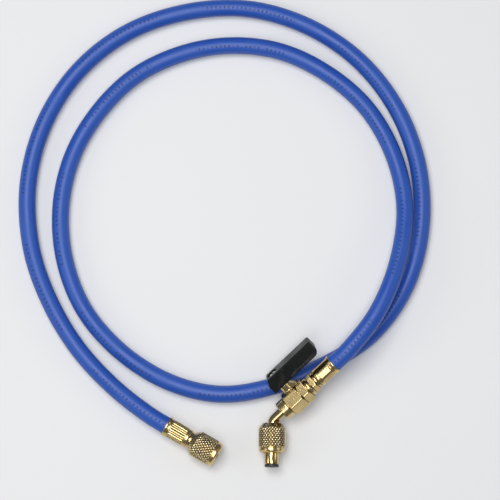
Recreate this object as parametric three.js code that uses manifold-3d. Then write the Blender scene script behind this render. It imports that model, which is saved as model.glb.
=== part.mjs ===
// Refrigerant charging hose with a quarter-turn ball valve on one end, lying loosely coiled.
// Millimetres, +Z up. The origin is on the floor, under the middle of the two sets of fittings.
import * as THREE from 'three';
import { mergeVertices } from 'three/addons/utils/BufferGeometryUtils.js';
import Module from 'manifold-3d';

// Clearance between pieces that sit in or against each other.
const GAP = 0.3;

// Small chamfer on turned edges, and a larger one on collars and threads.
const EDGE = 0.3;
const COLLAR_EDGE = 0.5;

// Hose: the lying length runs through these points, from the straight end to the valve end.
const HOSE_DIAMETER = 11;
const HOSE_BORE = 5;
const HOSE_STEPS = 66;
const HOSE_SIDES = 12;
const HOSE_BORE_SIDES = 8;
const HOSE_ROUTE = [
  [-52.5, -14.5, 7.8],
  [-66.0, -6.0, 7.3],
  [-87.0, 10.5, 6.2],
  [-110.5, 35.5, 5.7],
  [-129.5, 67.0, 5.6],
  [-141.5, 101.5, 5.6],
  [-144.0, 142.5, 5.6],
  [-134.0, 182.5, 5.6],
  [-112.0, 217.5, 5.6],
  [-80.0, 243.0, 5.6],
  [-41.5, 256.5, 5.6],
  [-1.5, 258.5, 5.6],
  [37.0, 247.0, 5.6],
  [70.0, 224.5, 5.6],
  [94.5, 192.5, 5.6],
  [108.0, 155.5, 5.6],
  [110.0, 115.5, 5.6],
  [100.0, 77.0, 5.6],
  [77.5, 45.0, 5.6],
  [45.0, 24.0, 5.6],
  [14.0, 11.5, 5.6],
  [-19.0, 6.5, 5.6],
  [-51.5, 14.0, 5.6],
  [-83.0, 33.5, 5.6],
  [-107.0, 61.0, 5.6],
  [-120.0, 94.0, 5.6],
  [-122.5, 129.0, 5.6],
  [-115.0, 162.0, 5.6],
  [-98.5, 190.5, 5.6],
  [-75.5, 213.5, 5.6],
  [-46.5, 228.0, 5.6],
  [-15.0, 234.0, 5.6],
  [18.0, 230.5, 5.6],
  [48.0, 216.5, 5.6],
  [74.0, 194.0, 5.8],
  [91.5, 163.5, 7.3],
  [99.0, 128.0, 11.4],
  [94.0, 91.0, 18.2],
  [80.0, 57.0, 23.4],
  [61.0, 32.5, 23.3],
  [51.5, 24.0, 20.5],
];

// Which way each set of fittings points, away from the hose, in degrees.
const STRAIGHT_HEADING = -30.5;
const STRAIGHT_PITCH = 2;
const VALVE_HEADING = 222.7;
const VALVE_PITCH = -12.2;
const VALVE_ROLL = 20;

// Crimped ferrules: a bell mouth over the hose, then eight crimp flats.
const STRAIGHT_FERRULE_LENGTH = 16.8;
const VALVE_FERRULE_LENGTH = 14.2;
const FERRULE_DIAMETER = 12;
const FERRULE_WALL = 0.9;
const FERRULE_END_WALL = 1.2;
const BELL_DIAMETER = 12.9;
const BELL_DEPTH = 1.3;
const BELL_TAPER = 1.0;
const BELL_CLEARANCE = 0.35;
const BELL_LIP = 0.1;
const BELL_BAND_FROM = 0.4;
const BELL_BAND_TO = 0.9;
const FERRULE_END_CHAMFER = 0.9;
const CRIMP_TO_END = 2;
const CRIMP_FLATS = 8;
const CRIMP_DEPTH = 0.2;

// Hose barbs and the necks that pass through the ferrules' end walls.
const BARB_DIAMETER = 5;
const BARB_RING_DEPTH = 0.25;
const BARB_RING_PITCH = 3.4;
const FLOW_BORE = 2.6;
const NECK_DIAMETER = 6.4;
const STEM_COLLAR_DIAMETER = 10.6;
const STEM_COLLAR_WIDTH = 1.6;
const TAIL_COLLAR_DIAMETER = 11.4;
const TAIL_COLLAR_ROUND = 0.4;

// Knurled flare nuts, one on each end.
const NUT_DIAMETER = 17.2;
const NUT_LENGTH = 18.6;
const NUT_REAR_WALL = 3;
const NUT_REAR_DIAMETER = 12.4;
const NUT_REAR_ROUND = 3.4;
const NUT_RIM_DIAMETER = 16.4;
const NUT_RIM_WIDTH = 3.4;
const NUT_RIM_STEP = 0.4;
const NUT_RIM_CHAMFER = 1.0;
const NUT_SOCKET_DIAMETER = 9.9;
const NUT_SOCKET_LEAD = 0.6;
const NUT_SPIN_GAP = 0.5;
const NUT_SIDES = 30;
const NUT_ROUND_STEPS = 4;

// Nipples that the nuts turn on, with a gasket in the end of each.
const NIPPLE_LENGTH = 8.6;
const GASKET_DIAMETER = 9.1;
const GASKET_THICKNESS = 1.9;
const GASKET_SPIGOT_DIAMETER = 6.8;
const GASKET_SPIGOT_LENGTH = 1.3;
const GASKET_HOLE = 3.4;
const GASKET_EDGE = 0.4;
const DEPRESSOR_DISC_DIAMETER = 4.2;
const DEPRESSOR_DISC_THICKNESS = 0.9;
const DEPRESSOR_PIN_DIAMETER = 1.5;
const DEPRESSOR_HOLES = 3;
const DEPRESSOR_HOLE_DIAMETER = 0.9;

// Hose tail of the valve end.
const TAIL_HEX_ACROSS_FLATS = 11.4;
const TAIL_HEX_WIDTH = 3.2;
const TAIL_THREAD_DIAMETER = 8;
const TAIL_THREAD_LENGTH = 5;

// Valve body, its end cap and the ball inside.
const VALVE_ACROSS_FLATS = 14.8;
const CAP_NECK_DIAMETER = 12.6;
const CAP_NECK_WIDTH = 2.9;
const CAP_NECK_CHAMFER = 1;
const CAP_NECK_CHAMFER_LENGTH = 1.2;
const CAP_HEX_WIDTH = 5.2;
const BODY_HEX_WIDTH = 10.6;
const OUTLET_COLLAR_DIAMETER = 13.1;
const OUTLET_COLLAR_WIDTH = 6;
const OUTLET_NECK_TO = 0.2;
const OUTLET_COLLAR_FROM = 0.7;
const OUTLET_COLLAR_CHAMFER = 0.6;
const BALL_DIAMETER = 8;
const BALL_BORE = 4.2;
const BALL_SLOT_DEPTH = 1.4;
const CAVITY_DIAMETER = 8.8;
const SEAT_DEPTH = 4.9;
const SEAT_BORE = 4.8;
const SEAT_LIP_RELIEF = 0.1;
const SEAT_RIM_RELIEF = 0.8;
const CAP_SPIGOT_DIAMETER = 11.2;
const CAP_SPIGOT_LENGTH = 1.1;
const BODY_FLOW_BORE = 5;
const HEX_FACING = 0.15;
const HEX_FLATS = 6;

// Stem, lever and screw; heights are measured from the valve's axis.
const STEM_DIAMETER = 4;
const STEM_FROM_BODY_REAR = 3.7;
const TANG_WIDTH = 3;
const TANG_THICKNESS = 2.2;
const BOSS_DIAMETER = 7;
const BOSS_HEIGHT = 12.9;
const BOSS_FOOT_WIDER = 0.2;
const BOSS_FOOT_TO = 1.4;
const BOSS_WAIST_FROM = 1.8;
const BOSS_DRAFT = 0.1;
const BOSS_EDGE = 0.4;
const GUSSET_REACH = 7.2;
const GUSSET_WIDTH = 5;
const LEVER_REACH = 31.5;
const LEVER_HEEL = 6.9;
const LEVER_WIDTH = 10.5;
const LEVER_LIFT = 0.4;
const LEVER_BOTTOM = BOSS_HEIGHT + LEVER_LIFT;
const LEVER_TOP = 23.4;
const LEVER_HEEL_SLOPE = 4.4;
const LEVER_TOE_CHAMFER = 2.5;
const LEVER_TOE_EDGE = 0.6;
const LEVER_CORNER = 2.2;
const LEVER_HEEL_CORNER = 3.5;
const STEM_FLATS = 3.2;
const STEM_TOP = 19.4;
const SCREW_SHANK_DIAMETER = 1.8;
const SCREW_SHANK_LENGTH = 6;
const SCREW_HEAD_DIAMETER = 6;
const SCREW_HEAD_HEIGHT = 1.7;
const SCREW_HEAD_CROWN = 0.6;
const SCREW_HEAD_CROWN_WIDTH = 0.9;
const SCREW_WEB = 1.1;
const SCREW_SLOT_WIDTH = 0.9;
const SCREW_SLOT_DEPTH = 0.8;

// Bent outlet tube.
const ELBOW_ANGLE = 48;
const ELBOW_CLOCK = 123.4;
const ELBOW_RADIUS = 6;
const ELBOW_LEG = 9;
const ELBOW_SOCKET_DEPTH = 4;
const ELBOW_SOCKET_WALL = 0.35;
const NUT_BEHIND = 1.6;
const NIPPLE_REACH = 27.3;
const ELBOW_BORE = 3.2;
const ELBOW_SIDES = 14;
const ELBOW_BORE_SIDES = 8;
const ELBOW_STEPS = 26;

// Sides of a turned surface, of a small hole and of the ball, and steps of a drawn arc.
const ROUND = 20;
const SMALL_ROUND = 12;
const BALL_SIDES = 24;
const BALL_RINGS = 14;
const ARC_STEPS = 6;

const wasm = await Module();
wasm.setup();

// A closed three.js geometry as a solid.
function solid(geometry) {
  const bare = geometry.clone();
  bare.deleteAttribute('normal');
  bare.deleteAttribute('uv');
  const merged = mergeVertices(bare, 1e-4);
  const index = merged.index.array;
  const triangles = [];
  for (let i = 0; i < index.length; i += 3) {
    const [a, b, c] = [index[i], index[i + 1], index[i + 2]];
    if (a !== b && b !== c && c !== a) triangles.push(a, b, c);
  }
  return new wasm.Manifold(new wasm.Mesh({
    numProp: 3,
    vertProperties: new Float32Array(merged.attributes.position.array),
    triVerts: new Uint32Array(triangles),
  }));
}

// A solid back as a geometry.
function geometryOf(body) {
  const mesh = body.getMesh();
  const geometry = new THREE.BufferGeometry();
  geometry.setAttribute('position', new THREE.BufferAttribute(new Float32Array(mesh.vertProperties), 3));
  geometry.setIndex(new THREE.BufferAttribute(new Uint32Array(mesh.triVerts), 1));
  geometry.computeVertexNormals();
  return geometry;
}

// A profile of [radius, distance along the axis] turned about Z; it ends on the axis or where it began.
function turned(profile, segments = ROUND) {
  const points = profile.map(([radius, along]) => new THREE.Vector2(radius, along));
  return solid(new THREE.LatheGeometry(points, segments).rotateX(Math.PI / 2));
}

// A ring or pipe about Z.
function ring(outer, inner, from, to, segments = ROUND) {
  return turned([[inner, from], [outer, from], [outer, to], [inner, to], [inner, from]], segments);
}

// A rod about Z.
function rod(diameter, from, to, segments = ROUND) {
  const radius = diameter / 2;
  return turned([[0, from], [radius, from], [radius, to], [0, to]], segments);
}

// A prism about Z with a regular outline; one flat faces +Y when the number of flats is even.
function prism(flats, acrossFlats, from, to) {
  const corner = acrossFlats / 2 / Math.cos(Math.PI / flats);
  const outline = new THREE.Shape();
  for (let i = 0; i < flats; i += 1) {
    const angle = Math.PI / 2 + (2 * i + 1) * Math.PI / flats;
    const [x, y] = [corner * Math.cos(angle), corner * Math.sin(angle)];
    if (i === 0) outline.moveTo(x, y);
    else outline.lineTo(x, y);
  }
  outline.closePath();
  return extruded(outline, from, to);
}

// A hexagon with its corners turned off at both ends, as bar stock is after facing.
function hexagon(acrossFlats, from, to) {
  const corner = acrossFlats / 2 / Math.cos(Math.PI / HEX_FLATS);
  const faced = acrossFlats / 2 - HEX_FACING;
  const chamfer = (corner - faced) / 2;
  const facing = turned([
    [0, from],
    [faced, from],
    [corner + GAP, from + chamfer],
    [corner + GAP, to - chamfer],
    [faced, to],
    [0, to],
  ]);
  const turnedHalfAStep = solid(geometryOf(facing).rotateZ(Math.PI / ROUND));
  return prism(HEX_FLATS, acrossFlats, from, to).intersect(turnedHalfAStep);
}

// A shape pushed along Z.
function extruded(shape, from, to) {
  const options = { depth: to - from, bevelEnabled: false, curveSegments: ARC_STEPS };
  return solid(new THREE.ExtrudeGeometry(shape, options).translate(0, 0, from));
}

// A box from its lowest to its highest corner.
function block(low, high) {
  const size = high.map((value, i) => value - low[i]);
  const middle = high.map((value, i) => (value + low[i]) / 2);
  return solid(new THREE.BoxGeometry(...size).translate(...middle));
}

// A solid built about Z, turned to stand along Y at a distance along Z.
function standing(body, along) {
  return solid(geometryOf(body).rotateX(-Math.PI / 2).translate(0, 0, along));
}

// A tube along a curve, hollow where it has a bore.
function tube(path, outer, bore, sides, boreSides, steps) {
  const section = new THREE.Shape().setFromPoints(circle(outer / 2, sides));
  section.holes.push(new THREE.Path(circle(bore / 2, boreSides).reverse()));
  return solid(new THREE.ExtrudeGeometry(section, { steps, bevelEnabled: false, extrudePath: path }));
}

function circle(radius, sides) {
  const points = [];
  for (let i = 0; i < sides; i += 1) {
    const angle = 2 * Math.PI * i / sides;
    points.push(new THREE.Vector2(radius * Math.cos(angle), radius * Math.sin(angle)));
  }
  return points;
}

// A group that carries fittings: its Z runs away from the hose and its Y is the side the stem stands on.
function fittings(position, heading, pitch, roll) {
  const turn = THREE.MathUtils.degToRad(heading);
  const rise = THREE.MathUtils.degToRad(pitch);
  const lean = THREE.MathUtils.degToRad(roll);
  const away = new THREE.Vector3(
    Math.cos(turn) * Math.cos(rise), Math.sin(turn) * Math.cos(rise), Math.sin(rise));
  const right = new THREE.Vector3(Math.sin(turn), -Math.cos(turn), 0);
  const up = new THREE.Vector3().crossVectors(right, away);
  const side = right.multiplyScalar(Math.cos(lean)).add(up.multiplyScalar(Math.sin(lean)));
  const across = new THREE.Vector3().crossVectors(side, away);
  const group = new THREE.Group();
  group.setRotationFromMatrix(new THREE.Matrix4().makeBasis(across, side, away));
  group.position.set(...position);
  return group;
}

const FINISHES = {
  brass: { color: 0xb8964a, roughness: 0.32, metalness: 1 },
  hose: { color: 0x2f57b0, roughness: 0.5, metalness: 0 },
  lever: { color: 0x17181a, roughness: 0.45, metalness: 0 },
  gasket: { color: 0x101010, roughness: 0.6, metalness: 0 },
  seat: { color: 0xece8dc, roughness: 0.5, metalness: 0 },
  steel: { color: 0xb9bcbf, roughness: 0.3, metalness: 1 },
};

function piece(name, body, finish) {
  const mesh = new THREE.Mesh(geometryOf(body), new THREE.MeshStandardMaterial(FINISHES[finish]));
  mesh.name = name;
  return mesh;
}

const CRIMPED_HOSE_DIAMETER = FERRULE_DIAMETER - 2 * FERRULE_WALL - 2 * GAP;
const CRIMPED_HOSE_BORE = BARB_DIAMETER + 2 * GAP;
const NIPPLE_DIAMETER = NUT_SOCKET_DIAMETER - 2 * GAP;

// In each set of fittings the full-size hose ends at 0, BELL_DEPTH inside the ferrule's mouth.
const STRAIGHT_FERRULE_END = STRAIGHT_FERRULE_LENGTH - BELL_DEPTH;
const VALVE_FERRULE_END = VALVE_FERRULE_LENGTH - BELL_DEPTH;

function hoseEnd(ferruleEnd) {
  const end = ferruleEnd - FERRULE_END_WALL - 2 * GAP;
  return ring(CRIMPED_HOSE_DIAMETER / 2, CRIMPED_HOSE_BORE / 2, -GAP, end);
}

function hose(straightEnd, valveEnd) {
  const path = new THREE.CatmullRomCurve3(HOSE_ROUTE.map((point) => new THREE.Vector3(...point)));
  let body = tube(path, HOSE_DIAMETER, HOSE_BORE, HOSE_SIDES, HOSE_BORE_SIDES, HOSE_STEPS);
  for (const [group, ferruleEnd] of [[straightEnd, STRAIGHT_FERRULE_END], [valveEnd, VALVE_FERRULE_END]]) {
    group.updateMatrixWorld();
    const end = geometryOf(hoseEnd(ferruleEnd)).applyMatrix4(group.matrixWorld);
    body = body.add(solid(end));
  }
  return body;
}

function ferrule(end) {
  const mouth = -BELL_DEPTH;
  const outer = FERRULE_DIAMETER / 2;
  const bell = BELL_DIAMETER / 2;
  const inner = outer - FERRULE_WALL;
  const bellInner = HOSE_DIAMETER / 2 + BELL_CLEARANCE;
  const crimpFrom = BELL_TAPER + GAP;
  const crimpTo = end - CRIMP_TO_END;
  const shell = turned([
    [bellInner, mouth],
    [bell - BELL_LIP, mouth],
    [bell, mouth + BELL_BAND_FROM],
    [bell, mouth + BELL_BAND_TO],
    [outer, crimpFrom],
    [outer, crimpTo],
    [outer, end - FERRULE_END_CHAMFER],
    [outer - FERRULE_END_CHAMFER, end],
    [NECK_DIAMETER / 2 + GAP, end],
    [NECK_DIAMETER / 2 + GAP, end - FERRULE_END_WALL],
    [inner, end - FERRULE_END_WALL],
    [inner, crimpFrom],
    [bellInner, GAP],
    [bellInner, mouth],
  ]);
  const flats = prism(CRIMP_FLATS, FERRULE_DIAMETER - 2 * CRIMP_DEPTH, crimpFrom, crimpTo);
  const ends = rod(2 * bell + 1, mouth - 1, crimpFrom).add(rod(2 * bell + 1, crimpTo, end + 1));
  return shell.intersect(ends.add(flats));
}

// The barbed part inside the hose, up to the ferrule's outer end.
function barb(ferruleEnd) {
  const outer = BARB_DIAMETER / 2;
  const bore = FLOW_BORE / 2;
  const root = ferruleEnd - FERRULE_END_WALL - GAP;
  const profile = [[bore, 2 * GAP], [outer - BARB_RING_DEPTH, 2 * GAP]];
  for (let along = 2 * GAP + BARB_RING_PITCH; along < root - BARB_RING_PITCH; along += BARB_RING_PITCH) {
    profile.push([outer, along], [outer - BARB_RING_DEPTH, along + GAP]);
  }
  profile.push([outer, root], [NECK_DIAMETER / 2, root + GAP / 2], [NECK_DIAMETER / 2, ferruleEnd + 1]);
  profile.push([bore, ferruleEnd + 1], [bore, 2 * GAP]);
  return turned(profile);
}

// The nipple's seat end, counterbored for its gasket. It starts at the shoulder that holds the nut.
function nipple(shoulder) {
  const end = shoulder + NIPPLE_LENGTH;
  const outer = NIPPLE_DIAMETER / 2;
  const pocket = GASKET_SPIGOT_DIAMETER / 2 + GAP;
  const disc = DEPRESSOR_DISC_DIAMETER / 2 + GAP;
  const pocketFrom = end - GASKET_SPIGOT_LENGTH - GAP;
  const discFrom = pocketFrom - DEPRESSOR_DISC_THICKNESS - GAP;
  return turned([
    [FLOW_BORE / 2, shoulder],
    [outer - COLLAR_EDGE, shoulder],
    [outer, shoulder + COLLAR_EDGE],
    [outer, end - EDGE],
    [outer - EDGE, end],
    [pocket, end],
    [pocket, pocketFrom],
    [disc, pocketFrom],
    [disc, discFrom],
    [FLOW_BORE / 2, discFrom],
    [FLOW_BORE / 2, shoulder],
  ]);
}

function straightStem(shoulder) {
  const collarFrom = STRAIGHT_FERRULE_END + GAP;
  const collar = STEM_COLLAR_DIAMETER / 2;
  const neck = turned([
    [FLOW_BORE / 2, collarFrom],
    [collar - EDGE, collarFrom],
    [collar, collarFrom + EDGE],
    [collar, collarFrom + STEM_COLLAR_WIDTH - EDGE],
    [collar - EDGE, collarFrom + STEM_COLLAR_WIDTH],
    [NECK_DIAMETER / 2, collarFrom + STEM_COLLAR_WIDTH],
    [NECK_DIAMETER / 2, shoulder + COLLAR_EDGE],
    [FLOW_BORE / 2, shoulder + COLLAR_EDGE],
    [FLOW_BORE / 2, collarFrom],
  ]);
  return barb(STRAIGHT_FERRULE_END).add(neck).add(nipple(shoulder));
}

// The nut's rear face is at 0 and it opens towards +Z.
function nut() {
  const outer = NUT_DIAMETER / 2;
  const rear = NUT_REAR_DIAMETER / 2;
  const rim = NUT_RIM_DIAMETER / 2;
  const socket = NUT_SOCKET_DIAMETER / 2;
  const hole = NECK_DIAMETER / 2 + NUT_SPIN_GAP;
  const knurlTo = NUT_LENGTH - NUT_RIM_WIDTH;
  const profile = [[hole, 0]];
  for (let i = 0; i <= NUT_ROUND_STEPS; i += 1) {
    const angle = Math.PI / 2 * i / NUT_ROUND_STEPS;
    const radius = rear + (outer - rear) * Math.sin(angle);
    profile.push([radius, NUT_REAR_ROUND * (1 - Math.cos(angle))]);
  }
  profile.push([outer, knurlTo], [rim, knurlTo + NUT_RIM_STEP], [rim, NUT_LENGTH - NUT_RIM_CHAMFER]);
  profile.push([rim - NUT_RIM_CHAMFER, NUT_LENGTH], [socket + NUT_SOCKET_LEAD, NUT_LENGTH]);
  profile.push([socket, NUT_LENGTH - NUT_SOCKET_LEAD], [socket, NUT_REAR_WALL], [hole, NUT_REAR_WALL]);
  profile.push([hole, 0]);
  return turned(profile, NUT_SIDES);
}

// A rubber ring with a spigot that sits in the nipple; its shoulder is at 0.
function gasket() {
  const hole = GASKET_HOLE / 2;
  const spigot = GASKET_SPIGOT_DIAMETER / 2;
  const outer = GASKET_DIAMETER / 2;
  return turned([
    [hole, -GASKET_SPIGOT_LENGTH],
    [spigot, -GASKET_SPIGOT_LENGTH],
    [spigot, GAP],
    [outer, GAP],
    [outer, GASKET_THICKNESS - GASKET_EDGE],
    [outer - GASKET_EDGE, GASKET_THICKNESS],
    [hole + EDGE, GASKET_THICKNESS],
    [hole, GASKET_THICKNESS - EDGE],
    [hole, -GASKET_SPIGOT_LENGTH],
  ]);
}

// A slotted disc with a pin, which opens the service valve; the disc's front is at 0.
function depressor() {
  const disc = new THREE.Shape().absarc(0, 0, DEPRESSOR_DISC_DIAMETER / 2, 0, 2 * Math.PI);
  for (let i = 0; i < DEPRESSOR_HOLES; i += 1) {
    const angle = 2 * Math.PI * i / DEPRESSOR_HOLES;
    const reach = (DEPRESSOR_DISC_DIAMETER + DEPRESSOR_PIN_DIAMETER) / 4;
    const [x, y] = [reach * Math.cos(angle), reach * Math.sin(angle)];
    const hole = new THREE.Path().absarc(x, y, DEPRESSOR_HOLE_DIAMETER / 2, 0, 2 * Math.PI);
    disc.holes.push(hole);
  }
  const tip = GASKET_SPIGOT_LENGTH + GASKET_THICKNESS - GAP;
  const plate = extruded(disc, -DEPRESSOR_DISC_THICKNESS, 0);
  return plate.add(rod(DEPRESSOR_PIN_DIAMETER, -0.5, tip, SMALL_ROUND));
}

// Stations along the valve end, from where the full-size hose ends.
const RING_FROM = VALVE_FERRULE_END + GAP;
const TAIL_HEX_FROM = RING_FROM + STEM_COLLAR_WIDTH + GAP;
const TAIL_HEX_TO = TAIL_HEX_FROM + TAIL_HEX_WIDTH;
const CAP_FROM = TAIL_HEX_TO + GAP;
const CAP_HEX_FROM = CAP_FROM + CAP_NECK_WIDTH;
const CAP_TO = CAP_HEX_FROM + CAP_HEX_WIDTH;
const BODY_FROM = CAP_TO + GAP;
const STEM_AT = BODY_FROM + STEM_FROM_BODY_REAR;
const BODY_HEX_TO = BODY_FROM + BODY_HEX_WIDTH;
const BODY_TO = BODY_HEX_TO + OUTLET_COLLAR_WIDTH;
const ELBOW_AT = BODY_TO + ELBOW_LEG;
const ELBOW_FROM = BODY_TO - ELBOW_SOCKET_DEPTH + GAP;
const SEAT_BACK = SEAT_DEPTH + GAP;

function hoseTail() {
  const collar = TAIL_COLLAR_DIAMETER / 2;
  const bore = FLOW_BORE / 2;
  const thread = TAIL_THREAD_DIAMETER / 2;
  const end = TAIL_HEX_TO + TAIL_THREAD_LENGTH;
  const shank = turned([
    [bore, RING_FROM],
    [collar - EDGE, RING_FROM],
    [collar, RING_FROM + TAIL_COLLAR_ROUND],
    [collar, RING_FROM + STEM_COLLAR_WIDTH - TAIL_COLLAR_ROUND],
    [collar - COLLAR_EDGE, RING_FROM + STEM_COLLAR_WIDTH],
    [collar - COLLAR_EDGE, TAIL_HEX_FROM],
    [thread, TAIL_HEX_FROM],
    [thread, end - COLLAR_EDGE],
    [thread - COLLAR_EDGE, end],
    [bore, end],
    [bore, RING_FROM],
  ]);
  const hex = hexagon(TAIL_HEX_ACROSS_FLATS, TAIL_HEX_FROM, TAIL_HEX_TO)
    .subtract(rod(TAIL_THREAD_DIAMETER - 1, TAIL_HEX_FROM - 1, TAIL_HEX_TO + 1));
  return barb(VALVE_FERRULE_END).add(shank).add(hex);
}

function endCap() {
  const neck = CAP_NECK_DIAMETER / 2;
  const thread = TAIL_THREAD_DIAMETER / 2 + GAP;
  const threadTo = TAIL_HEX_TO + TAIL_THREAD_LENGTH + GAP;
  const pocket = CAVITY_DIAMETER / 2;
  const pocketFrom = STEM_AT - SEAT_BACK;
  const turning = turned([
    [0, CAP_FROM],
    [neck - CAP_NECK_CHAMFER, CAP_FROM],
    [neck, CAP_FROM + CAP_NECK_CHAMFER_LENGTH],
    [neck, CAP_HEX_FROM],
    [CAP_SPIGOT_DIAMETER / 2, CAP_HEX_FROM + 1],
    [CAP_SPIGOT_DIAMETER / 2, CAP_TO + CAP_SPIGOT_LENGTH],
    [0, CAP_TO + CAP_SPIGOT_LENGTH],
  ]);
  return turning
    .add(hexagon(VALVE_ACROSS_FLATS, CAP_HEX_FROM, CAP_TO))
    .subtract(rod(2 * thread, CAP_FROM - 1, threadTo))
    .subtract(rod(BODY_FLOW_BORE, CAP_FROM, CAP_TO))
    .subtract(rod(2 * pocket, pocketFrom, CAP_TO + CAP_SPIGOT_LENGTH + 1));
}

// The stem boss: a turret with a gusset on the hose side.
function boss() {
  const radius = BOSS_DIAMETER / 2;
  const foot = VALVE_ACROSS_FLATS / 2 - 1;
  const turret = turned([
    [0, foot],
    [radius + BOSS_FOOT_WIDER, foot],
    [radius + BOSS_FOOT_WIDER, foot + BOSS_FOOT_TO],
    [radius, foot + BOSS_WAIST_FROM],
    [radius - BOSS_DRAFT, BOSS_HEIGHT - EDGE],
    [radius - BOSS_EDGE, BOSS_HEIGHT],
    [0, BOSS_HEIGHT],
  ]);
  const gusset = new THREE.Shape();
  const overCap = VALVE_ACROSS_FLATS / 2 + GAP;
  gusset.moveTo(0, foot);
  gusset.lineTo(STEM_FROM_BODY_REAR, foot);
  gusset.lineTo(STEM_FROM_BODY_REAR, overCap);
  gusset.lineTo(GUSSET_REACH, overCap);
  gusset.lineTo(radius - EDGE, BOSS_HEIGHT - BOSS_EDGE);
  gusset.lineTo(0, BOSS_HEIGHT - BOSS_EDGE);
  gusset.closePath();
  const web = geometryOf(extruded(gusset, -GUSSET_WIDTH / 2, GUSSET_WIDTH / 2));
  const placed = solid(web.rotateY(Math.PI / 2).translate(0, 0, STEM_AT));
  return standing(turret, STEM_AT).add(placed);
}

function valveBody() {
  const collar = OUTLET_COLLAR_DIAMETER / 2;
  const outlet = turned([
    [0, BODY_HEX_TO - 1],
    [collar - COLLAR_EDGE, BODY_HEX_TO - 1],
    [collar - COLLAR_EDGE, BODY_HEX_TO + OUTLET_NECK_TO],
    [collar, BODY_HEX_TO + OUTLET_COLLAR_FROM],
    [collar, BODY_TO - OUTLET_COLLAR_CHAMFER],
    [collar - OUTLET_COLLAR_CHAMFER, BODY_TO],
    [0, BODY_TO],
  ]);
  const socket = NECK_DIAMETER + 2 * ELBOW_SOCKET_WALL;
  const cavityTo = STEM_AT + SEAT_BACK;
  const counterbore = CAP_SPIGOT_DIAMETER + 2 * GAP;
  const stemHole = rod(STEM_DIAMETER + 2 * GAP, BALL_DIAMETER / 4, BOSS_HEIGHT + 1);
  return hexagon(VALVE_ACROSS_FLATS, BODY_FROM, BODY_HEX_TO)
    .add(outlet)
    .add(boss())
    .subtract(rod(counterbore, BODY_FROM - 1, BODY_FROM + CAP_SPIGOT_LENGTH))
    .subtract(rod(CAVITY_DIAMETER, BODY_FROM, cavityTo))
    .subtract(rod(BODY_FLOW_BORE, cavityTo - 1, BODY_TO + 1))
    .subtract(rod(socket, BODY_TO - ELBOW_SOCKET_DEPTH, BODY_TO + 1))
    .subtract(standing(stemHole, STEM_AT));
}

// A PTFE ring on one side of the ball: direction is -1 on the hose side and 1 on the outlet side.
function seat(direction) {
  const outer = CAVITY_DIAMETER / 2 - GAP;
  const bore = SEAT_BORE / 2;
  const lip = BALL_DIAMETER / 2 + GAP;
  const inside = Math.sqrt(lip ** 2 - bore ** 2) + SEAT_LIP_RELIEF;
  const rimFace = Math.sqrt(lip ** 2 - outer ** 2) + SEAT_RIM_RELIEF;
  const body = turned([
    [bore, inside],
    [outer, rimFace],
    [outer, SEAT_DEPTH],
    [bore, SEAT_DEPTH],
    [bore, inside],
  ]);
  const geometry = geometryOf(body);
  if (direction < 0) geometry.rotateX(Math.PI);
  return solid(geometry.translate(0, 0, STEM_AT));
}

function ball() {
  const radius = BALL_DIAMETER / 2;
  const sphere = solid(new THREE.SphereGeometry(radius, BALL_SIDES, BALL_RINGS));
  const slotFloor = radius - BALL_SLOT_DEPTH;
  const slotHalf = TANG_THICKNESS / 2 + GAP;
  const slot = block([-radius, slotFloor, -slotHalf], [radius, radius + 1, slotHalf]);
  const open = sphere.subtract(rod(BALL_BORE, -radius - 1, radius + 1)).subtract(slot);
  return solid(geometryOf(open).translate(0, 0, STEM_AT));
}

function spindle() {
  const radius = STEM_DIAMETER / 2;
  const shaftFrom = BALL_DIAMETER / 2 + GAP;
  const tangFrom = BALL_DIAMETER / 2 - BALL_SLOT_DEPTH + GAP;
  const flatsFrom = BOSS_HEIGHT;
  const hole = SCREW_SHANK_DIAMETER + 2 * GAP;
  const tangHalf = TANG_THICKNESS / 2;
  const round = standing(rod(STEM_DIAMETER, shaftFrom, STEM_TOP), 0);
  const flats = STEM_FLATS / 2;
  const trim = block([-radius - 1, flatsFrom, flats], [radius + 1, STEM_TOP + 1, radius + 1])
    .add(block([-radius - 1, flatsFrom, -radius - 1], [radius + 1, STEM_TOP + 1, -flats]));
  const tangEdge = TANG_WIDTH / 2;
  const tang = block([-tangEdge, tangFrom, -tangHalf], [tangEdge, shaftFrom + 0.5, tangHalf]);
  const tapping = standing(rod(hole, STEM_TOP - SCREW_SHANK_LENGTH, STEM_TOP + 1, SMALL_ROUND), 0);
  const body = round.subtract(trim).add(tang).subtract(tapping);
  return solid(geometryOf(body).translate(0, 0, STEM_AT));
}

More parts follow.
